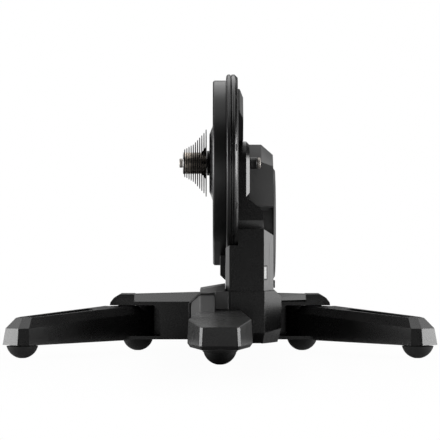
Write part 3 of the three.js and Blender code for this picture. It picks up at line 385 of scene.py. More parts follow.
# %% [markdown]
# Metal shows how it was made. Turned pieces have rings round their axis, which a noise
# stretched along X can't give, so the distance from the axis is worked out first and the rings
# are a noise of that distance alone. Plates that were blanked and tumbled have only soft cloudy
# variation and fine scratches.


# %% Turned and tumbled metals
def turned_metal(name, tone, warmth, roughness, line, ring_depth=0.02):
    finish = Finish(name, metallic=1.0)
    across = finish.part("Y") - line.y * mm
    up = finish.part("Z") - line.z * mm
    radius = (across * across + up * up) ** 0.5
    place = finish.node("ShaderNodeCombineXYZ", {}, {0: radius, 1: finish.part("X")})
    sockets = {"Vector": place, "Scale": 1 / (0.5 * mm), "Detail": 3.0}
    rings = finish.node("ShaderNodeTexNoise", {"noise_dimensions": "2D"}, sockets, "Fac")
    haze = finish.noise(9, detail=3)
    bright, dull = colour(tone, warmth), colour(tone - 26, warmth)
    uneven = roughness + rings * 0.12 + haze * 0.05
    return finish.wear(rings * 0.6 + haze * 0.4, dull, bright, uneven, rings, ring_depth, 0.6)


def tumbled_metal(name, tone, warmth, roughness):
    finish = Finish(name, metallic=1.0)
    haze = finish.noise(6, detail=4, rough=0.6)
    scratches = finish.noise(0.6, detail=3, stretch=(1, 0.15, 1))
    bright, dull = colour(tone, warmth), colour(tone - 34, warmth)
    return finish.wear(haze, dull, bright, roughness + haze * 0.14 + scratches * 0.06, scratches, 0.02, 0.5)


# %% [markdown]
# Inside are a few finishes of their own: copper windings, which are rows of lacquered wire, a
# green circuit board with paler tracks under its lacquer, and a belt with ribs along its length.


# %% Windings, board, belt and lens
def copper_windings():
    finish = Finish("copper_windings", metallic=1.0)
    wire = finish.ridges(0.9)
    # Each wire's crest is coloured lighter and the gaps between the wires darker: a painted highlight and
    # painted shade that follow the bump.
    dull, bright = (0.20, 0.07, 0.03, 1), (0.62, 0.28, 0.14, 1)
    return finish.wear(wire, dull, bright, 0.5 - wire * 0.2, wire, 0.3)


def lacquered_board():
    finish = Finish("lacquered_board", 0.6)
    tracks = finish.cells(4, "DISTANCE_TO_EDGE") < 0.08
    green, pale_green = (0.01, 0.07, 0.03, 1), (0.03, 0.17, 0.07, 1)
    return finish.wear(tracks, green, pale_green, 0.38 - tracks * 0.1, tracks, 0.04)


def ribbed_belt():
    finish = Finish("ribbed_belt", 0.35)
    ribs = finish.ridges(2.1)
    dust = finish.noise(5, detail=3)
    return finish.wear(dust, colour(20), colour(34), 0.72 + ribs * 0.12, ribs, 0.4)


def frosted_lens():
    finish = Finish("frosted_lens", 0.6)
    frost = finish.noise(1.5, detail=3)
    return finish.wear(frost, colour(160), colour(178), 0.22 + frost * 0.12, frost, 0.03, 0.5)


# %% [markdown]
# A finish is made once and worn by every piece of its kind, as one coat or one batch of plastic
# would be. It could be made anew for each piece, but then a change of tone would have many places.
# The black powder coat also has two lighter copies, for the folding legs and the front leg: painted
# light for the light that their faces catch.

# %% Make each finish once
coat = powder_coat("black_powder_coat", 8, 12)
# Lighter copies of the black powder coat: painted light on the folding legs and the front leg.
leg_coat_painted_lighter = powder_coat("leg_powder_coat_painted_lighter", 20, 27)
front_coat_painted_lighter = powder_coat("front_powder_coat_painted_lighter", 46, 54)
grip_plastic = moulded("grip_plastic", 9, 13, 0.28, 0.16)
cover_plastic = moulded("black_cover_plastic", 12, 17, 0.26, 0.46)
housing_plastic = moulded("housing_plastic", 66, 80, 0.34)
panel_plastic = moulded("grey_panel_plastic", 66, 78, 0.34)
foot_rubber = soft_rubber("foot_rubber", 17, 0.62)
spacer_steel = turned_metal("turned_spacer_steel", 238, 0.06, 0.3, axle)
# A darker copy of the spacer steel: painted shade for the inner spacers under the large cogs.
spacer_steel_painted_shade = turned_metal("turned_spacer_steel_painted_shade", 176, 0.05, 0.3, axle)
dark_axle_steel = turned_metal("turned_dark_steel", 170, 0.03, 0.5, axle)
axle_steel = turned_metal("turned_axle_steel", 168, 0.01, 0.24, axle)
shaft_steel = turned_metal("turned_shaft_steel", 168, 0.01, 0.24, shaft)
hub_steel = turned_metal("blackened_hub_steel", 64, 0.0, 0.34, axle)
flywheel_steel = turned_metal("flywheel_steel", 112, 0.0, 0.36, shaft, 0.03)
cog_steel = tumbled_metal("tumbled_cog_steel", 62, 0.05, 0.24)
bracket_alloy = tumbled_metal("tumbled_bracket_alloy", 180, 0.0, 0.34)
wires = copper_windings()
board_lacquer = lacquered_board()
belt_ribs = ribbed_belt()
lens_frost = frosted_lens()
print("finishes:", len(bpy.data.materials))

# %% [markdown]
# ## Shapes from rings
# Nearly every piece here is a skin over a row of rings: a turned knob has circles of different
# radii, a moulded cover has one outline drawn in by different amounts, and a leg has a few
# sections along its length. One function makes all of them, and turns millimetres into metres.


# %% Skins
def outward(mesh):
    shape = bmesh.new()
    shape.from_mesh(mesh)
    bmesh.ops.remove_doubles(shape, verts=shape.verts, dist=0.001 * mm)
    bmesh.ops.recalc_face_normals(shape, faces=shape.faces)
    if shape.calc_volume(signed=True) < 0:
        bmesh.ops.reverse_faces(shape, faces=shape.faces)
    shape.to_mesh(mesh)
    shape.free()
    return mesh


def solid(points, faces):
    mesh = bpy.data.meshes.new("shape")
    mesh.from_pydata([[c * mm for c in point] for point in points], [], faces)
    return outward(mesh)


def skin(rings, capped=True):
    """A closed surface over the rings; without caps the last ring joins the first."""
    count = len(rings[0])
    points = [point for ring in rings for point in ring]
    faces = []
    for row in range(len(rings) - 1 if capped else len(rings)):
        here, there = row * count, (row + 1) % len(rings) * count
        for i in range(count):
            after = (i + 1) % count
            faces.append((here + i, here + after, there + after, there + i))
    if capped:
        faces.append(tuple(reversed(range(count))))
        faces.append(tuple(range(len(points) - count, len(points))))
    return solid(points, faces)


# %% [markdown]
# Lathe work is a profile turned about one of the two lines. The belt cover and the casing are
# both straps round the two lines. Seen from the axle, a strap has one radius in each direction,
# so it shares its rings with the round rim and the boss, and they join without a boolean.


# %% Round shapes and straps
def around(sides):
    return [2 * math.pi * i / sides for i in range(sides)]


def polar(line, x, out, aside, angle):
    """A place so far out from a line at an angle, and so far aside."""
    turn, rise = math.cos(angle), math.sin(angle)
    return (x, line.y + out * turn - aside * rise, line.z + out * rise + aside * turn)


def ring(line, x, radius, sides):
    """A ring round a line; radius is one length or a function of the angle."""
    return [polar(line, x, radius(a) if callable(radius) else radius, 0, a) for a in around(sides)]


def turned(profile, line, sides=96, capped=True):
    """A profile of (radius, x) points turned about a line."""
    return skin([ring(line, x, radius, sides) for radius, x in profile], capped)


def rod(radius, x0, x1, line, sides=48):
    return turned([(radius, x0), (radius, x1)], line, sides)


apart = math.hypot(shaft.y - axle.y, shaft.z - axle.z)
heading = math.atan2(shaft.z - axle.z, shaft.y - axle.y)


def strap(axle_radius, shaft_radius, inset=0.0):
    """The reach of a strap round both lines, as a function of the angle seen from the axle."""
    big, small = axle_radius - inset, shaft_radius - inset
    leaves = math.acos((big - small) / apart)
    lands = math.atan2(small * math.sin(leaves), apart + small * math.cos(leaves))

    def reach(angle):
        aside = abs((angle - heading + math.pi) % (2 * math.pi) - math.pi)
        if aside >= leaves:
            return big
        if aside > lands:
            return big / math.cos(leaves - aside)
        return apart * math.cos(aside) + math.sqrt(small**2 - (apart * math.sin(aside)) ** 2)

    return reach


def axle_ring(x, radius):
    return ring(axle, x, radius, 240)


# %% [markdown]
# Corners that a tool or a mould would round are rounded in the outline itself, and a section is
# drawn in edge by edge, so the mesh is right before any modifier.


# %% Outlines
def curve(start, corner, end, steps):
    """A soft curve from start to end that bends at corner."""
    start, corner, end = Vector(start), Vector(corner), Vector(end)
    shares = [i / steps for i in range(steps + 1)]
    return [tuple(start.lerp(corner, s).lerp(corner.lerp(end, s), s)) for s in shares]


def rounded(points, radius, steps):
    """The same outline with each corner replaced by a curve."""
    corners = [Vector(point) for point in points]
    made = []
    for i, corner in enumerate(corners):
        back, ahead = corners[i - 1] - corner, corners[(i + 1) % len(corners)] - corner
        reach = min(radius / math.tan(back.angle(ahead) / 2), back.length * 0.49, ahead.length * 0.49)
        made += curve(corner + back.normalized() * reach, corner, corner + ahead.normalized() * reach, steps)
    return made


def drawn_in(points, *distances):
    """An outline with every edge pulled in, by one distance or by one for each edge."""
    corners = [Vector(point) for point in points]
    pulls = distances if len(distances) > 1 else distances * len(corners)
    area = sum(a.cross(b) for a, b in zip(corners, corners[1:] + corners[:1]))
    made = []
    for i, corner in enumerate(corners):
        edges = (corner - corners[i - 1], corners[(i + 1) % len(corners)] - corner)
        before, after = (Vector((-edge.y, edge.x)).normalized() * math.copysign(1, area) for edge in edges)
        bend = before.dot(after)
        shift = before * (pulls[i - 1] - pulls[i] * bend) + after * (pulls[i] - pulls[i - 1] * bend)
        made.append(tuple(corner + shift / (1 - bend * bend)))
    return made


# %% [markdown]
# The stand is easier to think of from the floor and the axle, as it was measured: x from the
# bicycle's middle plane, y from the axle and z from the floor.


# %% Places by measure
def spot(x, y, z):
    return (x, axle.y + y, z)


def block(x0, x1, y0, y1, z0, z1):
    return skin([side_ring(x, [(y0, z0), (y1, z0), (y1, z1), (y0, z1)]) for x in (x0, x1)])


def side_ring(x, outline):
    """An outline of (y, z) corners standing at x."""
    return [spot(x, y, z) for y, z in outline]


def front_skin(outline, *places):
    """An outline of (x, z) corners drawn from one y to the next."""
    return skin([[spot(x, y, z) for x, z in outline] for y in places])


def post(profile, x, y, sides):
    """A profile of (radius, z) points turned about an upright line."""
    turns = [(math.cos(a), math.sin(a)) for a in around(sides)]
    return skin([[spot(x + radius * c, y + radius * s, z) for c, s in turns] for radius, z in profile])


# %% [markdown]
# Holes and pockets are cut with exact booleans, and facets with planes. The cutters are scratch
# meshes that never reach the scene, and the result is a plain mesh again.


# %% Cutting and joining
def combined(mesh, others, operation):
    base = bpy.data.objects.new("work", mesh)
    helpers = [bpy.data.objects.new("tool", other) for other in others]
    for scratch in (base, *helpers):
        bpy.context.scene.collection.objects.link(scratch)
    for helper in helpers:
        modifier = base.modifiers.new(operation, "BOOLEAN")
        modifier.operation = operation
        modifier.solver = "EXACT"
        modifier.object = helper
    bpy.context.view_layer.update()
    graph = bpy.context.evaluated_depsgraph_get()
    result = bpy.data.meshes.new_from_object(base.evaluated_get(graph))
    for scratch in (base, *helpers):
        bpy.data.objects.remove(scratch)
    return result


def cut(mesh, *tools):
    return combined(mesh, tools, "DIFFERENCE")


def fused(mesh, *others):
    return combined(mesh, others, "UNION")


def sliced(mesh, *planes):
    """Facets, each cut by a plane through a spot, with its normal on the side that goes."""
    shape = bmesh.new()
    shape.from_mesh(mesh)
    for place, normal in planes:
        geometry = [*shape.verts, *shape.edges, *shape.faces]
        where = {"plane_co": [c * mm for c in place], "plane_no": Vector(normal)}
        result = bmesh.ops.bisect_plane(shape, geom=geometry, clear_outer=True, **where)
        edges = [item for item in result["geom_cut"] if isinstance(item, bmesh.types.BMEdge)]
        bmesh.ops.holes_fill(shape, edges=edges)
    shape.to_mesh(mesh)
    shape.free()
    return outward(mesh)


def gathered(meshes):
    """Separate bodies in one mesh, such as a row of screws."""
    shape = bmesh.new()
    for mesh in meshes:
        shape.from_mesh(mesh)
    mesh = bpy.data.meshes.new("shape")
    shape.to_mesh(mesh)
    shape.free()
    return mesh


# %% [markdown]
# Nothing real has a knife edge, and the light line along a small rounding is most of what makes
# a casting look cast. Merging flat faces first gives the bevel clean faces to work on, so two
# modifiers round a piece without touching its own vertices.


# %% Placing a finished piece
def soften(shown, rounding, angle, flat=0.4):
    merge = shown.modifiers.new("merge_flat_faces", "DECIMATE")
    merge.decimate_type = "DISSOLVE"
    merge.angle_limit = math.radians(flat)
    bevel = shown.modifiers.new("round_edges", "BEVEL")
    bevel.width = rounding * mm
    bevel.segments = 3
    bevel.limit_method = "ANGLE"
    bevel.angle_limit = math.radians(angle)
    bevel.harden_normals = True


def piece(name, mesh, material, stands_for=None, rounding=0, angle=30, crease=32, body="frame"):
    mesh.name = name
    mesh.materials.clear()
    mesh.materials.append(material)
    shown = bpy.data.objects.new(name, mesh)
    bpy.context.scene.collection.objects.link(shown)
    mesh.shade_smooth()
    if rounding:
        soften(shown, rounding, angle)
    else:
        mesh.set_sharp_from_angle(angle=math.radians(crease))
    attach(shown, body)
    if stands_for:
        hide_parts(stands_for)
    print(name, "on", body, "with", len(mesh.polygons), "faces")

# %% [markdown]
# ## Feet
# Five moulded rubber balls carry the trainer. Each is the lower part of a ball with a small
# flat worn by the mould, and it goes up into a ring in the casting. A turned profile is exactly
# that, so the foot is one arc, a small lip and a hidden top.

# %% Rubber feet
foot_low, foot_high = box("front_foot")
foot_height = foot_high.z - foot_low.z
foot_flat = 0.5
mouth = (foot_high.x - foot_low.x) / 2
ball = (mouth**2 + (foot_height + foot_flat) ** 2) / (2 * (foot_height + foot_flat))
start, end = (math.acos((ball - foot_flat - rise) / ball) for rise in (0, foot_height))
arc = [start + (end - start) * i / 14 for i in range(15)]
foot_profile = [(ball * math.sin(a), ball * (1 - math.cos(a)) - foot_flat) for a in arc]
foot_profile.append((mouth - 1.5, foot_height))
feet = {"front_foot": "frame", "inner_foot_left": "frame", "inner_foot_right": "frame"}
feet |= {"outer_foot_left": "leg_left", "outer_foot_right": "leg_right"}
for node, body in feet.items():
    place = middle(node)
    foot = post(foot_profile, place.x, place.y - axle.y, 64)
    piece(node + "_ball", foot, foot_rubber, node, body=body)
print("ball radius:", round(ball, 1), "mm")

# %% [markdown]
# ## Axle ends
# The bicycle's dropouts rest on two faces, 142 mm apart. The left one is a turned collar. The
# right one is a metal tip with a plastic grip behind it, fluted so that a hand can pull the
# adapter out. A turned profile can't give flutes, so the grip is a skin over wavy rings.


# %% Collar, tip and axle tube
def span(node):
    """The left end, the right end and the radius of a turned node."""
    low, high = box(node)
    return low.x, high.x, (high.z - low.z) / 2


def bush(left, right, outer, bore, edge, sides=64):
    """A turned sleeve with a small chamfer at each end."""
    profile = [(bore, left), (outer - edge, left), (outer, left + edge)]
    profile += [(outer, right - edge), (outer - edge, right), (bore, right)]
    return turned(profile, axle, sides, capped=False)


axle_bore = 6.2
for name, node, edge, steel, slot in (
    ("left_axle_collar", "left_end_cap", 0.9, dark_axle_steel, "alloy"),
    ("right_axle_end", "right_axle_tip", 1.0, dark_axle_steel, "alloy"),
    ("axle_tube", "axle", 0.7, axle_steel, "steel"),
):
    piece(name, bush(*span(node), axle_bore, edge), steel, node)

# %% [markdown]
# The flutes are shallow waves moulded into the grip. A cutter for each could make them, but a
# cosine of the angle puts them in the ring itself, and they fade out before the rounded ends.

# %% Fluted grip
grip_left, grip_right, grip_radius = span("right_axle_knob")
flutes = 20
flute_depth = 0.5


def grip_ring(x, radius, depth):
    flute = 0.5 * depth
    return ring(axle, x, lambda angle: radius - flute + flute * math.cos(flutes * angle), flutes * 8)


grip_half = [(0, axle_bore, 0), (0, grip_radius - 1, 0), (1, grip_radius, 0), (2.2, grip_radius, 0)]
grip_half.append((3, grip_radius, flute_depth))
grip_rings = [grip_ring(grip_left + x, radius, depth) for x, radius, depth in grip_half]
grip_rings += [grip_ring(grip_right - x, radius, depth) for x, radius, depth in reversed(grip_half)]
piece("right_axle_grip", skin(grip_rings, False), cover_plastic, "right_axle_knob")

# %% [markdown]
# ## Hub flange
# Between the cassette and the cover a blackened steel flange turns with the hub. It is a lathe
# part with a shallow groove for the freehub's seal.

# %% Hub shaft and flange
hub_left, hub_right, flange_radius = span("hub_shaft")
hub_bore = 8.2
hub_radius = 15
hub_edge = 0.5
flange_face = [(3.2, 0), (2.6, 0.6), (2.0, 0), (0.6, 0), (0, 0.6), (0, 3.5), (0.5, 4)]
hub_profile = [(hub_bore, hub_left)]
hub_profile += [(flange_radius - inset, hub_left + x) for inset, x in flange_face]
hub_profile += [(hub_radius, hub_left + 4), (hub_radius, hub_right - hub_edge)]
hub_profile += [(hub_radius - hub_edge, hub_right), (hub_bore, hub_right)]
hub_turned = turned(hub_profile, axle, 72, capped=False)
piece("hub_shaft_turned", hub_turned, hub_steel, "hub_shaft", body="drive_pulley")

# %% [markdown]
# ## Cassette
# Eleven stamped cogs sit on the freehub with a spacer between each pair. A chain roller is a
# circle, so the gap between two teeth is an arc of the roller's radius on the pitch circle, and
# the teeth are what is left. The large cogs are cut out between the teeth and the hub to save
# weight, and a pressed carrier joins them. The teeth are thinned at their tips to catch the
# chain, which shows as a light line on each cog.

# %% Cog outlines
chain_pitch = 12.7
roller = 3.97
tooth_height = 2.2
tip_drop = 0.9
thinning = 0.35
carrier_arms = 6


def polar_ring(outline, x):
    return [polar(axle, x, out, 0, angle) for out, angle in outline]


def tooth_outline(pitch_radius, teeth, drop):
    """One cog's outline as (radius, angle) points; drop lowers the tips, for the thinned face."""
    step = 2 * math.pi / teeth
    tip = pitch_radius + tooth_height - drop
    outline = []
    for tooth in range(teeth):
        for i in range(7):
            angle = math.pi * (1.5 - i / 6)
            across, aside = pitch_radius + roller * math.cos(angle), roller * math.sin(angle)
            outline.append((math.hypot(across, aside), tooth * step + math.atan2(aside, across)))
        outline += [(tip, (tooth + 0.42) * step), (tip, (tooth + 0.58) * step)]
    return outline


def window(inner, outer, arm, x0, x1):
    """A cutter shaped as part of a ring, for one opening of the larger cogs."""
    angles = [2 * math.pi / carrier_arms * (arm + 0.17 + 0.66 * i / 8) for i in range(9)]
    points = [(outer, a) for a in angles] + [(inner, a) for a in reversed(angles)]
    return skin([polar_ring(points, x) for x in (x0, x1)])


# %% [markdown]
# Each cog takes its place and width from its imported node, and the number of teeth from the
# node's name. The blank is one skin over four outlines, of which the outer two have lowered tips,
# and the bore and the openings are cut out of it, as a press would punch them.

# %% Cogs
freehub_bore = 17.2
spacer_radius = 18.6
teeth_of = {int(node.split("_")[1]): node for node in frame["nodes"] if node.startswith("cog_")}
cog_nodes = [teeth_of[teeth] for teeth in sorted(teeth_of)]
for teeth, node in sorted(teeth_of.items()):
    left, right = span(node)[:2]
    pitch_radius = chain_pitch / (2 * math.sin(math.pi / teeth))
    faces = ((tip_drop, left), (0, left + thinning), (0, right - thinning), (tip_drop, right))
    blank = skin([polar_ring(tooth_outline(pitch_radius, teeth, drop), x) for drop, x in faces])
    tools = [rod(freehub_bore, left - 1, right + 1, axle)]
    web_outer = pitch_radius - roller - 3.4
    if web_outer > spacer_radius + 7:
        openings = range(carrier_arms)
        tools += [window(spacer_radius + 3, web_outer, arm, left - 1, right + 1) for arm in openings]
    stamped = cut(blank, *tools)
    piece(f"cog_{teeth}_stamped", stamped, cog_steel, node, crease=24, body="freehub")

# %% [markdown]
# Spacers are short turned sleeves. Their widths could be typed in, but each one fills the gap
# that its two cogs leave, so they always fit. Those between the larger cogs wear a darker copy of
# the steel: painted shade for the shadow of the large cogs.

# %% Spacers
gaps = [(span(left)[1], span(right)[0]) for left, right in zip(cog_nodes, cog_nodes[1:])]
spacers = [bush(*gap, spacer_radius, freehub_bore, 0.35, 48) for gap in gaps]
piece("cog_spacers", gathered(spacers[:3]), spacer_steel, body="freehub")
# The inner spacers wear the darker copy of the steel: painted shade.
piece("inner_cog_spacers", gathered(spacers[3:]), spacer_steel_painted_shade, body="freehub")

# %% [markdown]
# The lockring holds the cogs, and its hole has twelve notches for a wrench. Cutters could make
# them, but a radius that steps in and out round the hole gives the same notches in one skin.
# Under the cogs the freehub is a plain turned sleeve.

# %% Lockring and freehub sleeve
lock_left, lock_right, lock_radius = span("lockring")
notches = 12
notch_depth = 1.6
lock_bore = 11
lock_edge = 0.5


def notched(grow):
    """The radius of the lockring's hole, with a notch for each tooth of its wrench."""
    step = math.pi / (notches * 4)
    return lambda angle: lock_bore + grow + (notch_depth if round(angle / step) % 8 < 4 else 0)


lock_profile = [(lock_left, notched(0.3)), (lock_left, lock_radius - lock_edge)]
lock_profile += [(lock_left + lock_edge, lock_radius), (lock_right, lock_radius), (lock_right, notched(0))]
lockring = skin([ring(axle, x, radius, notches * 8) for x, radius in lock_profile], False)
piece("lockring_turned", lockring, axle_steel, "lockring", body="freehub")
sleeve = bush(*span("freehub_body"), 8.2, 0)
piece("freehub_sleeve", sleeve, axle_steel, "freehub_body", body="freehub")

# %% [markdown]
# The carrier is a spider whose six arms show between the three largest cogs. Each arm is a short
# bar in each gap, and it reaches further out towards the largest cog.

# %% Carrier between the large cogs
carrier_left, carrier_right = gaps[-2][0], gaps[-1][1]
carrier_inner = 19.2
carrier_half = 2.2


def carrier_section(x, angle):
    """Across one arm, which reaches further out towards the largest cog."""
    reach = 22 + 9 * (x - carrier_left) / (carrier_right - carrier_left)
    corners = [(carrier_inner, -1), (reach, -1), (reach, 1), (carrier_inner, 1)]
    return [polar(axle, x, out, side * carrier_half, angle) for out, side in corners]


arms = []
for angle in around(carrier_arms):
    for left, right in gaps[-2:]:
        arms.append(skin([carrier_section(x, angle) for x in (left + 0.05, right - 0.05)]))
piece("cog_carrier", gathered(arms), hub_steel, rounding=0.4, body="freehub")

# %% [markdown]
# ## Screws
# Socket screws hold the covers. Each head is a low dome with a hexagon pressed into it, and the
# heads of one cover make one piece, as they come from one bag.


# %% Screw heads
def screw(place, facing, radius, height, key):
    face = Vector((facing, 0, 0))
    aside = face.orthogonal().normalized()
    across = face.cross(aside)
    dome = [(1, -0.6), (1, 0.45 * height), (0.92, 0.75 * height), (0.72, 0.95 * height)]
    profile = [(radius * share, lift) for share, lift in dome]
    profile += [(1.2 * key, height), (key, 0.94 * height), (key, 0.2 * height)]
    rings = [[] for row in profile]
    for angle in around(24):
        way = aside * math.cos(angle) + across * math.sin(angle)
        flat = math.cos(math.pi / 6) / math.cos(angle % (math.pi / 3) - math.pi / 6)
        for row, (reach, lift) in enumerate(profile):
            reach *= flat if row > 4 else 1
            rings[row].append(Vector(place) + face * lift + way * reach)
    return skin(rings)


def bores(places, radius, x0, x1):
    return [rod(radius, x0, x1, place, 24) for place in places]


# %% [markdown]
# ## Belt cover
# The cover is one deep moulded shell over the belt, with a raised boss round the hub. From the
# front it is the widest dark surface of the trainer, and its rounded left edge catches a thin
# light line. Rings run from its open right edge over the outside, down the boss, and back along
# the inside, so the wall is a true 2.5 mm thick.

# %% Cover shell
cover_low, cover_high = box("belt_cover")
cover_axle_radius = cover_high.z - axle.z
cover_shaft_radius = cover_high.y - shaft.y
wall = 2.5
boss_height = 6
cover_face = cover_low.x + boss_height
boss_face_radius = 51
boss_foot_radius = 64
groove_inset = 9
hub_clear = 16.2


def cover_ring(x, inset):
    return axle_ring(x, strap(cover_axle_radius, cover_shaft_radius, inset))


rounded_edge = [(3.2, 0), (2.6, 0.15), (2.1, 0.5), (0.5, 2.1), (0.15, 2.6), (0, 3.2)]
groove = [(0, 0), (0.8, 0.8), (0.8, 1.6), (0, 2.4)]
boss = [
    (boss_height, boss_foot_radius + 2.5),
    (boss_height - 0.4, boss_foot_radius + 0.6),
    (boss_height - 1.4, boss_foot_radius - 1.6),
    (1.0, boss_face_radius + 1.8),
    (0.2, boss_face_radius + 0.2),
    (0, boss_face_radius - 1.4),
    (0, hub_clear + 9),
    (1.2, hub_clear + 8),
    (1.2, hub_clear),
    (1.2 + wall, hub_clear),
    (1.2 + wall, boss_face_radius - wall),
    (boss_height + wall, boss_foot_radius - wall),
]
outside = [(cover_high.x, wall), (cover_high.x, 0.4), (cover_high.x - 0.4, 0)]
outside += [(cover_face + x, inset) for x, inset in rounded_edge]
outside += [(cover_face + x, groove_inset + inset) for x, inset in groove]
inside = [(cover_face + wall, wall + 3.2), (cover_face + wall + 3.2, wall)]
cover_rings = [cover_ring(*row) for row in outside]
cover_rings += [axle_ring(cover_low.x + x, radius) for x, radius in boss]
cover_rings += [cover_ring(*row) for row in inside]
screw_places = []
for i in range(10):
    angle = heading + math.radians(18 + 36 * i)
    reach = strap(cover_axle_radius, cover_shaft_radius, 5.2)(angle)
    screw_places.append(Place(*polar(axle, 0, reach, 0, angle)))
cover_shell = cut(skin(cover_rings, False), *bores(screw_places, 3.1, cover_face - 1, cover_face + 1.6))
piece("belt_cover_shell", cover_shell, cover_plastic, "belt_cover", crease=34)
cover_screws = [screw((cover_face + 1.6, p.y, p.z), -1, 2.8, 1.4, 1.6) for p in screw_places]
piece("cover_screws", gathered(cover_screws), shaft_steel)

# %% [markdown]
# ## Casing halves
# Behind the cover the round casing is two castings clamped together, which from the front are
# the two tall ridges right of the cover. The right one has a wide slanted edge, the brightest
# line in the photograph. Both are skins over rings that join the round rim and the strap.

# %% Both halves
left_low, left_high = box("casing_left")
right_low, right_high = box("casing_right")
rim_radius = left_high.z - axle.z
web_shaft_radius = right_high.y - shaft.y
bright_edge = 5.2
bearing_depth = 9
bearing_seat = 24


def half_casing(start, rows, web_radius, *end):
    """Rings at x, each with a drop from the rim and one from the strap, between two round ends."""
    rings = [axle_ring(start, hub_clear)]
    for x, drop, web_drop in rows:
        disc, web = rim_radius - drop, strap(cover_axle_radius, web_radius, web_drop)
        rings.append(axle_ring(x, lambda angle: max(disc, web(angle))))
    return skin(rings + [axle_ring(x, radius) for x, radius in end], capped=False)


left_rim = [(0, 7, 0.5), (0.5, 3.4, 0), (1.6, 1.2, 0), (3.2, 0.2, 0), (4.6, 0, 0)]
left_rows = [(left_low.x + x, drop, web_drop) for x, drop, web_drop in left_rim]
joint = [(2.2, 0.1, 0), (1.0, 0.6, 0), (0.2, 1.7, 0), (0, 3.0, 0.5)]
left_rows += [(left_high.x - x, drop, web_drop) for x, drop, web_drop in joint]
left_half = half_casing(left_low.x, left_rows, cover_shaft_radius, (left_high.x, hub_clear))
piece("left_casing_half", left_half, cover_plastic, "casing_left", crease=40)
right_rim = [(bright_edge + 0.8, 0.1, 0), (bright_edge, 0.5, 0)]
right_rim += [(0.6, bright_edge, 0.5), (0, bright_edge + 1.2, 1.2)]
right_rows = [(right_low.x + x, drop, web_drop) for x, drop, web_drop in reversed(joint)]
right_rows += [(right_high.x - x, drop, web_drop) for x, drop, web_drop in right_rim]
seat_floor = right_high.x - bearing_depth
right_ends = [(right_high.x, bearing_seat), (seat_floor, bearing_seat), (seat_floor, hub_clear)]
right_half = half_casing(right_low.x, right_rows, web_shaft_radius, *right_ends)

# %% [markdown]
# ## Spring clips
# Three black spring clips hold the halves together. They sit in notches of the bright edge. Each
# is a pressed strip with round ends, a little below the surface, so it shows as a dark dash in
# the light line.

# %% Clips in the casing's edge
clip_heights = [446, 357, 259]
clip_length = 12
clip_width = 4.4
shaft_hole_radius = 10.7
shaft_seat_radius = 19.3


def slot_outline(half_length, half_width):
    """A slot with round ends, as 24 points."""
    straight = half_length - half_width
    turns = [(math.cos(a), math.sin(a)) for a in around(24)]
    return [(math.copysign(straight, c) + half_width * c, half_width * s) for c, s in turns]


def edge_slot(height, narrower, low, high):
    """A bar lying along the slanted edge, from low to high above its surface."""
    ring_radius = rim_radius - bright_edge / 2
    angle = math.pi - math.asin((height - axle.z) / ring_radius)
    out = Vector((0.0, math.cos(angle), math.sin(angle)))
    along = Vector((0.0, -math.sin(angle), math.cos(angle)))
    side = Vector((1.0, 0.0, 0.0))
    slope, down_slope = (side + out).normalized(), (side - out).normalized()
    centre = Vector((right_high.x - bright_edge / 2, axle.y, axle.z)) + out * ring_radius
    outline = slot_outline(clip_length / 2 - narrower, clip_width / 2 - narrower)
    lifts = (centre + slope * low, centre + slope * high)
    return skin([[lift + along * a + down_slope * b for a, b in outline] for lift in lifts])


seats = rod(shaft_seat_radius, seat_floor, right_high.x + 1, shaft)
way_through = rod(shaft_hole_radius, right_low.x - 1, right_high.x + 1, shaft)
clip_notches = [edge_slot(height, 0, -2.2, 3) for height in clip_heights]
right_half = cut(cut(right_half, seats, way_through), *clip_notches)
piece("right_casing_half", right_half, coat, "casing_right", crease=34)
clips = [edge_slot(height, 0.4, -2.1, -1.0) for height in clip_heights]
piece("casing_clips", gathered(clips), foot_rubber, rounding=0.3)

# %% [markdown]
# ## Carry handle
# The handle is a flat hexagonal loop of black plastic bolted to the casing. Its upper bars are
# cut away at a steep slant on the outside, while the lower ones keep their full section for the
# fingers, so the front shows a lighter facet over a dark one. The section goes round the loop at
# one inset after another, and an edge can be given an inset of its own.

# %% Handle loop
handle_left = box("carry_handle")[0].x
handle_outline = [(40, 128), (-40, 128), (-95, 86), (-60, 37), (60, 37), (95, 86)]
handle_section = [(0.0, 0.7), (0.6, 0.0), (2.6, 0.2), (4.2, 2.8), (8.2, 13.4), (9.0, 14.8)]
handle_section += [(9.0, 16.2), (8.2, 17.0), (0.8, 17.0), (0.0, 16.2)]
outer_corner = 5
edge_grip = 0.8


def handle_ring(x, inset):
    """The upper bars are slanted outside, and the lower ones keep their full section."""
    lower = min(inset, edge_grip) if edge_grip < x and inset < 15 else inset
    corners = drawn_in(handle_outline, inset, inset, lower, lower, lower, inset)
    outline = rounded(corners, max(outer_corner - inset, 3), 6)
    return side_ring(handle_left + x, [(y, axle.z + z) for y, z in outline])


handle = skin([handle_ring(*row) for row in handle_section], capped=False)
piece("carry_handle_loop", handle, grip_plastic, "carry_handle", rounding=0.5)

# %% [markdown]
# ## Pillar and bearing arm
# One black casting carries everything. Its arm rises in front of the flywheel housing to the
# axle, its right front corner is cut off at 45 degrees, and lower down it spreads to the right
# in a gusset that ends flush with the pillar. The pillar's front stands further forward, and a
# hollow curve leads up to the arm. Three plain solids are joined and then cut by everything that
# the casting makes room for, as a machinist would.

# %% Arm, pillar and gusset
arm_left, arm_right = 31.1, 51.6
arm_radius = 38.0
arm_chamfer = 6.0
shaft_back = shaft.y - axle.y
heel_radius = 60.0
housing_front = 14.0
pillar_low, pillar_high = box("pillar")
pillar_front = pillar_low.y - axle.y
pillar_foot = pillar_low.z
pillar_back = 88.0


def arc_points(y, z, radius, start, turn, steps):
    angles = [start + turn * i / steps for i in range(steps + 1)]
    return [(y + radius * math.cos(a), z + radius * math.sin(a)) for a in angles]


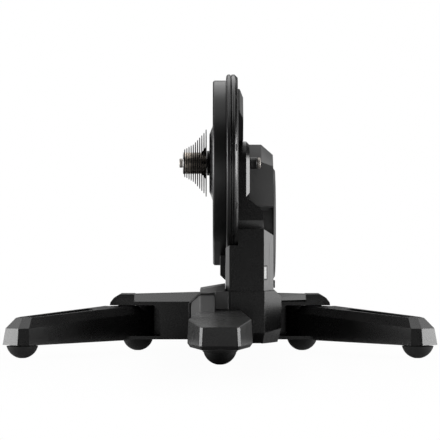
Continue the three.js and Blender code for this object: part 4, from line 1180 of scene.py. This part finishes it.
arm_outline = arc_points(0, axle.z, arm_radius, math.pi, 0.2 - math.pi, 28)
arm_outline += arc_points(shaft_back, shaft.z, heel_radius, 0.7, -1.9, 16)
arm_outline += [(pillar_back, pillar_foot), (-arm_radius, pillar_foot)]
arm_rings = [side_ring(x, arm_outline) for x in (arm_left, arm_right - arm_chamfer)]
arm = skin([*arm_rings, side_ring(arm_right, drawn_in(arm_outline, arm_chamfer))])

shoulder_height = 218.6
cove_top = shoulder_height + 15.4
cove_hollow = (-46.0, 224.0)
pillar_outline = [(pillar_front, pillar_foot), (pillar_back, pillar_foot)]
pillar_outline += [(pillar_back, shoulder_height), (0, cove_top)]
pillar_outline += curve((-arm_radius, cove_top), cove_hollow, (pillar_front, shoulder_height), 8)
pillar = skin([side_ring(x, pillar_outline) for x in (pillar_low.x, pillar_high.x)])
gusset_left, gusset_right = arm_left + 1, pillar_high.x
gusset_outline = [(gusset_left, 286.0), (gusset_right, 249.6), (gusset_right, 230.0), (gusset_left, 230.0)]
gusset = front_skin(gusset_outline, -arm_radius, housing_front - 2)

# %% [markdown]
# The neighbours' own meshes could cut the casting, but then nothing would have any play. Plain
# cutters a little larger than each neighbour do it: for the housing, for the rim and the web of
# the casing, for the hollow in the pillar, and for the bores and seats on both lines. The last
# one takes off the sharp end of the arm's chamfer.

# %% What the casting makes room for
barrel_radius = 94.0
deep = 110


def web_room(gap, x0, x1):
    return skin([axle_ring(x, strap(cover_axle_radius, web_shaft_radius, -gap)) for x in (x0, x1)])


rooms = [
    rod(barrel_radius + 0.3, arm_right + 0.2, deep, shaft, 128),
    block(arm_right, deep, housing_front - 0.3, deep, shaft.z, 262),
    rod(rim_radius + 0.3, 0, arm_left, axle, 160),
    web_room(0.3, 0, arm_left),
    block(arm_right, 90, pillar_front + 8, 16, pillar_foot + 8, shoulder_height - 8),
    rod(15.7, 0, 100, axle),
    rod(bearing_seat, arm_right - 18, 100, axle, 64),
    rod(shaft_hole_radius, 0, 100, shaft),
    rod(shaft_seat_radius, arm_right - 18, 100, shaft),
]
chamfer_end = [(45.6, 274.9), (52.8, 268.9), (52.8, 283.4)]
rooms.append(front_skin(chamfer_end, -arm_radius - 1, housing_front - 2))
casting = cut(fused(arm, pillar, gusset), *rooms)
piece("pillar_casting", casting, coat, "pillar", rounding=1.0)

# %% [markdown]
# ## Lower guard and bearing cap
# Under the belt cover a small black guard closes the gap to the pillar. From the front it is the
# step below the cover's foot. The right bearing of the hub is closed by a turned cap with a lip
# seal round the axle.

# %% Lower guard and bearing cap
guard_outline = [(0.2, 137.0), (0.2, 185.0), (9.6, 185.0), (9.6, 128.0)]
guard = cut(front_skin(guard_outline, 40, pillar_back), web_room(0.4, -1, 12))
piece("lower_guard", guard, cover_plastic, rounding=0.8)
cap_profile = [(8.6, 46.0), (23.4, 46.0), (23.4, 51.0), (22.6, 51.4), (17.0, 51.4), (16.0, 50.4)]
cap_profile += [(9.4, 50.4), (8.6, 49.6)]
piece("hub_bearing_cap", turned(cap_profile, axle, 72, False), cover_plastic)

# %% [markdown]
# ## Flywheel housing
# The housing is a round barrel that grows into an angular shoulder at the top front. The
# shoulder's brow slants back and catches the light above, and its right end is drawn in. The
# inside is bored out for the flywheel.

# %% Housing shell
house_low, house_high = box("flywheel_housing")
house_left, house_right = house_low.x, house_high.x
taper_start = house_right - 21
end_drop = 18.0
front_drop = 2.0
shoulder_outline = [
    (housing_front, shaft.z + 30),
    (housing_front, shaft.z + 108),
    (housing_front + 32, shaft.z + 140),
    (shaft_back + 22, shaft.z + 140),
    (shaft_back + 87, shaft.z + 77),
    (shaft_back + 87, shaft.z),
    (shaft_back - 58, shaft.z),
]


def shoulder_ring(x, inset, front_inset, corner):
    corners = drawn_in(shoulder_outline, inset)
    (low_y, low_z), (high_y, high_z) = corners[:2]
    corners[0] = (low_y - inset + front_inset, shoulder_outline[0][1] + front_inset / 4)
    corners[1] = (high_y - inset + front_inset, high_z)
    return side_ring(x, rounded(corners, corner, 3))


shoulder_rings = [shoulder_ring(x, 0, 0, 2.5) for x in (house_left, taper_start)]
shoulder = skin([*shoulder_rings, shoulder_ring(house_right, end_drop, front_drop, 2.0)])
barrel = rod(barrel_radius, house_left, house_right, shaft, 128)
cavity = rod(barrel_radius - 5, house_left + 5, deep, shaft, 128)
housing = cut(fused(barrel, shoulder), cavity, rod(shaft_hole_radius, 0, deep, shaft))
piece("housing_shell", housing, housing_plastic, "flywheel_housing", rounding=1.2)

# %% [markdown]
# ## Vented cover
# The round cover over the flywheel is a shallow dish with twelve radial slots, a raised ring in
# the middle and six screws. Through the slots the copper windings of the brake show.

# %% Round cover
lid_low, lid_high = box("flywheel_cover")
lid_radius = shaft.z - lid_low.z
lid_rim = [(0.6, 0), (0, 0.4), (0, 0.7), (5.6, 4.6)]
lid_rings = [(52, 0), (51, 1.2), (34, 1.2), (32.5, 0), (8, 0), (7.4, 1.1), (3, 1.1)]
lid_profile = [(3, lid_low.x)] + [(lid_radius - inset, lid_low.x + x) for inset, x in lid_rim]
lid_profile += [(lid_radius - 7.0, lid_high.x)] + [(radius, lid_high.x - x) for radius, x in lid_rings]
slot_half = 3.5
slot_inner, slot_outer = 66 + slot_half, 84 - slot_half
lid_middle = Vector((0, shaft.y * mm, shaft.z * mm))
tools = []
for angle in around(12):
    out = Vector((0, math.cos(angle), math.sin(angle)))
    aside = Vector((0, -math.sin(angle), math.cos(angle)))
    outline = []
    for turn in around(24):
        reach = (slot_outer if math.cos(turn) > 0 else slot_inner) + slot_half * math.cos(turn)
        outline.append(lid_middle + out * (reach * mm) + aside * (slot_half * mm) * math.sin(turn))
    tools.append(skin([[(x, p.y / mm, p.z / mm) for p in outline] for x in (lid_low.x - 1, lid_high.x + 1)]))
screw_places = [Place(*polar(shaft, 0, 89, 0, math.radians(45 + 60 * i))) for i in range(6)]
tools += bores(screw_places, 2.9, lid_high.x - 1.6, lid_high.x + 1)
vented = cut(turned(lid_profile, shaft, 144), *tools)
piece("vented_round_cover", vented, cover_plastic, "flywheel_cover", rounding=0.5)
lid_screws = [screw((lid_high.x - 1.6, p.y, p.z), 1, 2.6, 1.3, 1.3) for p in screw_places]
piece("lid_screws", gathered(lid_screws), shaft_steel)

# %% [markdown]
# ## Frame of the status light
# The light is a small frosted window in the side cover, and the photograph shows a thin dark
# outline round it. The outline is a flat frame that follows the window's own outline, a little
# wider and a little lower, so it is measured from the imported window.

# %% Lens frame
window_mesh = frame["nodes"]["status_lens"].data
facing = max(window_mesh.polygons, key=lambda face: (face.normal.x > 0, face.area)).normal.copy()
upwards = Vector((0, 0, 1))
along_cover = upwards.cross(facing).normalized()
corners = [vertex.co / mm for vertex in window_mesh.vertices]
front_face = max(corner.dot(facing) for corner in corners)
glass = [corner for corner in corners if corner.dot(facing) > front_face - 0.1]
glass_middle = (Vector(map(min, zip(*glass))) + Vector(map(max, zip(*glass)))) / 2
half_length = max(abs((point - glass_middle).dot(along_cover)) for point in glass)
half_height = max(abs((point - glass_middle).dot(upwards)) for point in glass)
frame_width = 2.6
frame_stand = 0.4


def lens_ring(level, wider):
    """A rectangle round the window, this far off its face and this much larger than it."""
    right, top = along_cover * (half_length + wider), upwards * (half_height + wider)
    centre = glass_middle + facing * level
    return [centre - right - top, centre + right - top, centre + right + top, centre - right + top]


frame_section = [(-frame_stand, 0), (frame_stand, 0), (frame_stand, frame_width), (-frame_stand, frame_width)]
lens_frame = skin([lens_ring(*row) for row in frame_section], capped=False)
piece("lens_frame", lens_frame, foot_rubber, crease=24)
print("window", round(2 * half_length, 1), "by", round(2 * half_height, 1), "mm")

# %% [markdown]
# ## Base
# The base under the pillar is one casting with flat facets. A narrow facet runs along the foot
# of its front and its right side and leans inwards, and at the right front corner it climbs. The
# blank is a swept section, each facet is one cut by a plane, and the hollow underside is cut
# last.

# %% Base casting
base_low, base_high = box("base")
base_left, base_right = base_low.x, base_high.x
base_front, base_back = base_low.y - axle.y, base_high.y - axle.y
base_foot, base_top = base_low.z, base_high.z
base_outline = [
    (base_left, base_foot),
    (base_right, base_foot),
    (base_right, base_top - 12),
    (94.6, base_top),
    (8.0, base_top),
    (-34.0, base_top - 5),
    (base_left, base_top - 22),
]
foot_facet = 18.0
foot_lean = 6.0
corner_slant = (60, -30.6, 0)
base_planes = [
    (spot(0, base_front, base_foot + foot_facet), (0, -foot_facet, -foot_lean)),
    (spot(base_right, 0, base_foot + 26), (26, 0, -7)),
    (spot(77, base_front, 0), corner_slant),
    (spot(77, base_front, base_foot + foot_facet), (0.86, -0.403, -0.314)),
    (spot(base_left, 0, base_foot + 6), (-6, 0, -4)),
]
faceted = sliced(front_skin(base_outline, base_front, base_back), *base_planes)
rib = 6.0
pocket_depth = (base_back - base_front - 3 * rib) / 2
pocket_width = (base_right - base_left - 20 - 3 * rib) / 2
pockets = []
for i, j in ((0, 0), (0, 1), (1, 0), (1, 1)):
    x = base_left + 8 + rib + i * (pocket_width + rib)
    y = base_front + rib + j * (pocket_depth + rib)
    pocket = block(x, x + pocket_width, y, y + pocket_depth, base_foot - 1, base_top - 26)
    pockets.append(sliced(pocket, (spot(68, base_front, 0), corner_slant)) if (i, j) == (1, 0) else pocket)
base_mesh = cut(faceted, *pockets)
piece("base_casting", base_mesh, coat, "base", rounding=1.4, angle=10)

# %% [markdown]
# ## Front leg
# The front leg starts in a blunt nose with corners cut at 45 degrees, widens to the shoulder and
# runs back to the base. A lip goes round its foot, which shows as a paler line beside the nose.
# The nose carries a round socket for its foot.

# %% Front leg casting
nose_front = -337.0
nose_corner = 4.6
wide_place = -250.0
leg_back = -62.3


def leg_ring(y, half, top, shoulder, foot, crown):
    """Right side from the sole up: a slanted foot edge, the drafted flank and the crown."""
    right = [(half - 4.5, foot), (half, foot + 6.5), (crown[0], shoulder), (crown[1], top)]
    return [spot(x, y, z) for x, z in right + [(-x, z) for x, z in reversed(right)]]


nose_rings = [
    leg_ring(nose_front, 29.2, 61.8, 60.4, 24.5, (27.9, 26.4)),
    leg_ring(nose_front + nose_corner, 33.8, 62.6, 61.4, 24.5, (32.5, 31.2)),
    leg_ring(wide_place - 2.5, 53.2, 71.0, 70.0, 25.2, (51.6, 50.2)),
    leg_ring(wide_place + 2.5, 53.8, 71.4, 70.0, 25.2, (52.0, 50.0)),
    leg_ring(leg_back, 54.0, 79.0, 63.0, 23.0, (54.0, 35.0)),
]
socket = post([(27.9, 20.9), (28.8, 23.0), (29.6, 30.0), (31.5, 52.0)], 0, -305.0, 96)
pockets = [block(-34, 34, back - 70, back, 20, 58) for back in (leg_back - 6, leg_back - 82)]
nose = sliced(skin(nose_rings), (spot(0, nose_front, 31.0), (0, -6.5, -4.5)))
front_leg = cut(fused(nose, socket), *pockets)
# The front leg wears the lighter copy of the powder coat: painted light.
piece("front_leg_casting", front_leg, front_coat_painted_lighter, "front_leg", rounding=0.9, angle=10)

# %% [markdown]
# ## Ramp cover
# On the left a moulded cover leads from the base down to the front leg: a steep panel facing
# forward, and a long facet that runs out to the leg's shoulder. It is one thin part whose
# underside rests on the leg, made here from its corner points.

# %% Ramp cover
ramp_foot = 60.0
ramp_nose = -98.0
ramp_top = [
    (-34.5, leg_back, 105.7),
    (-9.3, leg_back, 105.7),
    (-9.3, ramp_nose, 77.0),
    (-34.0, ramp_nose, 77.0),
    (-49.0, ramp_nose, 64.4),
    (-49.5, leg_back, 93.1),
]
ramp_points = [spot(*point) for point in ramp_top] + [spot(x, y, ramp_foot) for x, y, z in ramp_top]
ramp_faces = [(0, 1, 2, 3), (0, 3, 4, 5)]
ramp_faces += [(i, (i + 1) % 6, (i + 1) % 6 + 6, i + 6) for i in range(6)]
ramp = solid(ramp_points, [*ramp_faces, tuple(range(11, 5, -1))])
piece("ramp_cover_panel", ramp, panel_plastic, "ramp_cover", rounding=2.2, angle=12)

# %% [markdown]
# ## Plates on the base
# Left of the pillar a wedge-shaped plate lies on the base, higher towards the pillar, with a
# slanted front that catches the light. Below it a small square cover stands on the front of the
# base. Black rubber strips follow the joints between the front leg, the ramp cover and the base,
# a millimetre proud: they are painted shade, dark strips for the shadow in those joints, and they
# give the black outlines round them.


# %% Plates and painted shadow strips
def wedge_ring(x, edge, top):
    return side_ring(x, [(-62, 107), (-62, 108.6), (edge, top), (62, top), (62, 104), (-62, 104)])


wedge = skin([wedge_ring(-34.5, -50.9, 115.0), wedge_ring(9.2, -38.0, 122.4)])
piece("base_top_plate", wedge, panel_plastic, rounding=0.8)
front_plate = [(-66.0, 80.5), (-63.2, 111.0), (-60.0, 111.5), (-60.0, 79.5)]
front_plate = skin([side_ring(x, front_plate) for x in (-8.6, 14.4)])
piece("base_front_cover", front_plate, panel_plastic, rounding=0.8)
shadow_strip_back = base_front + 0.2
shadow_strip_outline = [(56.8, 26.0), (56.8, 64.3), (37.0, 81.2), (-8.0, 81.2)]
shadow_strip_outline += [(-8.0, 107.0), (-33.8, 107.0), (-53.6, 90.0), (-53.6, 26.0)]
# Painted shade: dark rubber strips laid where the joints lie in shadow.
shadow_strips = [front_skin(shadow_strip_outline, -63.3, shadow_strip_back), block(14.9, 19.6, -63.0, shadow_strip_back, 80.0, 111.0)]
piece("painted_shadow_gap_strips", gathered(shadow_strips), foot_rubber, rounding=0.3)

# %% [markdown]
# ## Crossbar
# The rear crossbar has a broad slanted facet along its upper front edge, which is the paler band
# in the photograph, and it is slightly higher in the middle. An open slot in each end takes a
# folding leg, and its inner upper corner is cut off.

# %% Crossbar casting
hinge_x, hinge_y = 148.0, 130.0
pin_radius = 6.3
bar_low, bar_high = box("crossbar")
cap_inner = box("hinge_cap_right")[0].x
bar_front, bar_back = bar_low.y - axle.y, bar_high.y - axle.y
bar_foot, bar_top, bar_end = bar_low.z, bar_high.z, bar_high.x
bar_facet_deep, bar_facet_foot = 21.0, 88.6
slot_start = 106.5
slot_floor, slot_roof = bar_foot + 6, bar_top - 19.6
cap_floor = bar_top - 7.3


def bar_ring(x, top):
    back = [(bar_back, bar_foot), (bar_back, top - 8), (bar_back - 8, top)]
    front = [(bar_front + bar_facet_deep, top), (bar_front, bar_facet_foot)]
    return side_ring(x, [(bar_front, bar_foot), *back, *front])


def mirrored_block(side, x0, x1, *rest):
    return block(*sorted((side * x0, side * x1)), *rest)


bar_tops = [(-bar_end, 100.2), (-40, 104.0), (40, 104.0), (bar_end, 100.2)]
bar_blank = skin([bar_ring(*row) for row in bar_tops])
slot = [(slot_start, slot_floor), (bar_end + 1, slot_floor), (bar_end + 1, slot_roof)]
slot += [(118.2, slot_roof), (108.7, slot_roof - 10.5)]
bar_ends, tools = [], []
for side in (-1, 1):
    bar_ends.append(mirrored_block(side, cap_inner, bar_end, bar_front, bar_back - 0.5, slot_roof, cap_floor))
    tools.append(front_skin([(side * x, z) for x, z in slot], bar_front - 1, bar_back - 4.5))
    seat = (bar_front - 1, bar_back + 1, cap_floor - 0.05, 110)
    tools.append(mirrored_block(side, cap_inner - 0.3, bar_end + 1, *seat))
    tools.append(post([(pin_radius, 10), (pin_radius, 110)], side * hinge_x, hinge_y, 40))
bar_pitch = (2 * slot_start - rib) / 5
for i in range(5):
    left = rib - slot_start + i * bar_pitch
    tools.append(block(left, left + bar_pitch - rib, bar_front + rib, bar_back - rib, 10, 82))
crossbar = cut(fused(bar_blank, *bar_ends), *tools)
piece("crossbar_casting", crossbar, coat, "crossbar", rounding=1.2, angle=10)

# %% [markdown]
# ## Folding legs
# Each leg is a tapered casting with an eye round its hinge pin. Its tip is blunt: a level end
# face, a slanted facet above it and narrowed corners. A ribbed rubber panel is let into its top.
# The leg is drawn straight along its own length and then swung out to where it stands, as the
# joint would do it.

# %% Places along a leg
leg_angle = math.radians(36.7)
eye_radius = 29.0
eye_top = 80.6
tip_side = 51.0
crown_start, crown_end = 70.0, 305.0
inner_rail, outer_rail = (79.4, 68.4), (81.4, 69.6)
inlay_start, inlay_end, inlay_half = 128.0, 298.0, 9.8


def leg_spot(side, along, across, z):
    """along runs from the hinge to the tip; across is positive towards the leg's outer side."""
    ahead, out = math.cos(leg_angle), math.sin(leg_angle)
    x = hinge_x + along * out + across * ahead
    return spot(side * x, hinge_y - along * ahead + across * out, z)


def leg_section(side, *corners):
    """Half a section from the sole up, as (along, across, inner height, outer height)."""
    outer = [leg_spot(side, along, across, high) for along, across, low, high in corners]
    inner = [leg_spot(side, along, -across, low) for along, across, low, high in reversed(corners)]
    return outer + inner


def leg_box(side, a0, a1, half, z0, z1):
    corners = [(-half, z0), (half, z0), (half, z1), (-half, z1)]
    return skin([[leg_spot(side, a, b, z) for b, z in corners] for a in (a0, a1)])


def rail_height(along, across):
    share = (along - crown_start) / (crown_end - crown_start)
    inner, outer = (low + (high - low) * share for low, high in (inner_rail, outer_rail))
    return inner + (outer - inner) * (across / 25 + 0.5)


def inlay_block(side, places, half, low, high):
    """A block let into the top, between two places along the leg and two heights from its rail."""
    rings = []
    for along in places:
        inner, outer = rail_height(along, -half), rail_height(along, half)
        corners = [(-half, inner + low), (half, outer + low), (half, outer + high), (-half, inner + high)]
        rings.append([leg_spot(side, along, across, z) for across, z in corners])
    return skin(rings)


# %% [markdown]
# Both legs come from one loop, mirrored by the sign of their side. A leg is a skin over sections
# along its length, joined with the eye, and then opened for the crossbar's floor, the panel, the
# pin and three pockets underneath. The panel is a rubber plate with a row of ribs.

# %% Leg castings and their panels
leg_rows = [
    [(0, 28, 21, 21), (0, 28, 69, 69), (0, 19, eye_top, eye_top)],
    [(58, 27.6, 21, 21), (58, 27.6, 66.5, 66.5), (58, 18.6, eye_top, eye_top)],
    [(70, 27.5, 21, 21), (70, 27.5, 66, 66), (70, 18.5, inner_rail[0], outer_rail[0])],
    [(325, 24.5, 22, 22), (325, 24.5, tip_side, tip_side), (305, 12.5, inner_rail[1], outer_rail[1])],
    [(346, 16.6, 23, 23), (341, 14.4, tip_side, tip_side), (323, 7, 67.6, 68.4)],
    [(341, 14.4, tip_side, tip_side)] * 3,
]
rib_count = 24
for side, word in ((-1, "left"), (1, "right")):
    body = f"leg_{word}"
    leg_skin = skin([leg_section(side, *row) for row in leg_rows])
    at_hinge = (side * hinge_x, hinge_y)
    eye = post([(eye_radius, base_foot), (eye_radius, eye_top)], *at_hinge, 72)
    tools = [leg_box(side, -40, 66, 40, 0, 27.7)]
    tools.append(inlay_block(side, (inlay_start, inlay_end), inlay_half, -7, 3))
    tools.append(post([(pin_radius, 0), (pin_radius, 90)], *at_hinge, 40))
    tools += [leg_box(side, 70 + i * 74, 138 + i * 74, 18.5, 0, tip_side - 5) for i in range(3)]
    leg = cut(fused(leg_skin, eye), *tools)
    # The legs wear the lighter copy of the powder coat: painted light.
    piece(f"{body}_casting", leg, leg_coat_painted_lighter, body, rounding=1.6, angle=10, body=body)
    inlay = [inlay_block(side, (inlay_start + 0.4, inlay_end - 0.4), inlay_half - 0.4, -6.8, -5.4)]
    for i in range(rib_count):
        along = inlay_start + 6 + (inlay_end - inlay_start - 12) * i / (rib_count - 1)
        inlay.append(inlay_block(side, (along - 1.1, along + 1.1), inlay_half - 3, -5.8, -4.6))
    name = f"leg_inlay_{word}"
    piece(f"{name}_ribbed", gathered(inlay), foot_rubber, name, rounding=0.4, body=body)

# %% [markdown]
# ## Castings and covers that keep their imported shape
# The other nodes already have the right shape as they were packed, a mesh of flat triangles with
# knife edges. They get the same two modifiers as the pieces above, and the finish of their slot.

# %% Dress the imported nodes
finish_of_slot = {
    "black_casting": coat,
    "black_plastic": cover_plastic,
    "grey_plastic": panel_plastic,
    "rubber": foot_rubber,
    "steel": shaft_steel,
    "cog_steel": cog_steel,
    "dark_steel": flywheel_steel,
    "alloy": bracket_alloy,
    "copper": wires,
    "board_green": board_lacquer,
    "lens_clear": lens_frost,
    "belt_rubber": belt_ribs,
}
slot_of = {row["node"]: row["material_slot"] for row in frame["record"]["subparts"]}
for node, shown in frame["nodes"].items():
    if not shown.hide_render:
        shown.data.materials.clear()
        shown.data.materials.append(finish_of_slot[slot_of[node]])
        soften(shown, 1.0, 24, flat=0.5)
        shown.data.shade_smooth()
        print("dressed", node, "in", slot_of[node])

# %% Print both boxes and finish
dressed_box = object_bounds()
boxes = {
    "cad": [list(cad_box[0]), list(cad_box[1])],
    "dressed": [list(dressed_box[0]), list(dressed_box[1])],
}
for name, (low, high) in boxes.items():
    print(name, [round(v, 4) for v in low], [round(v, 4) for v in high])
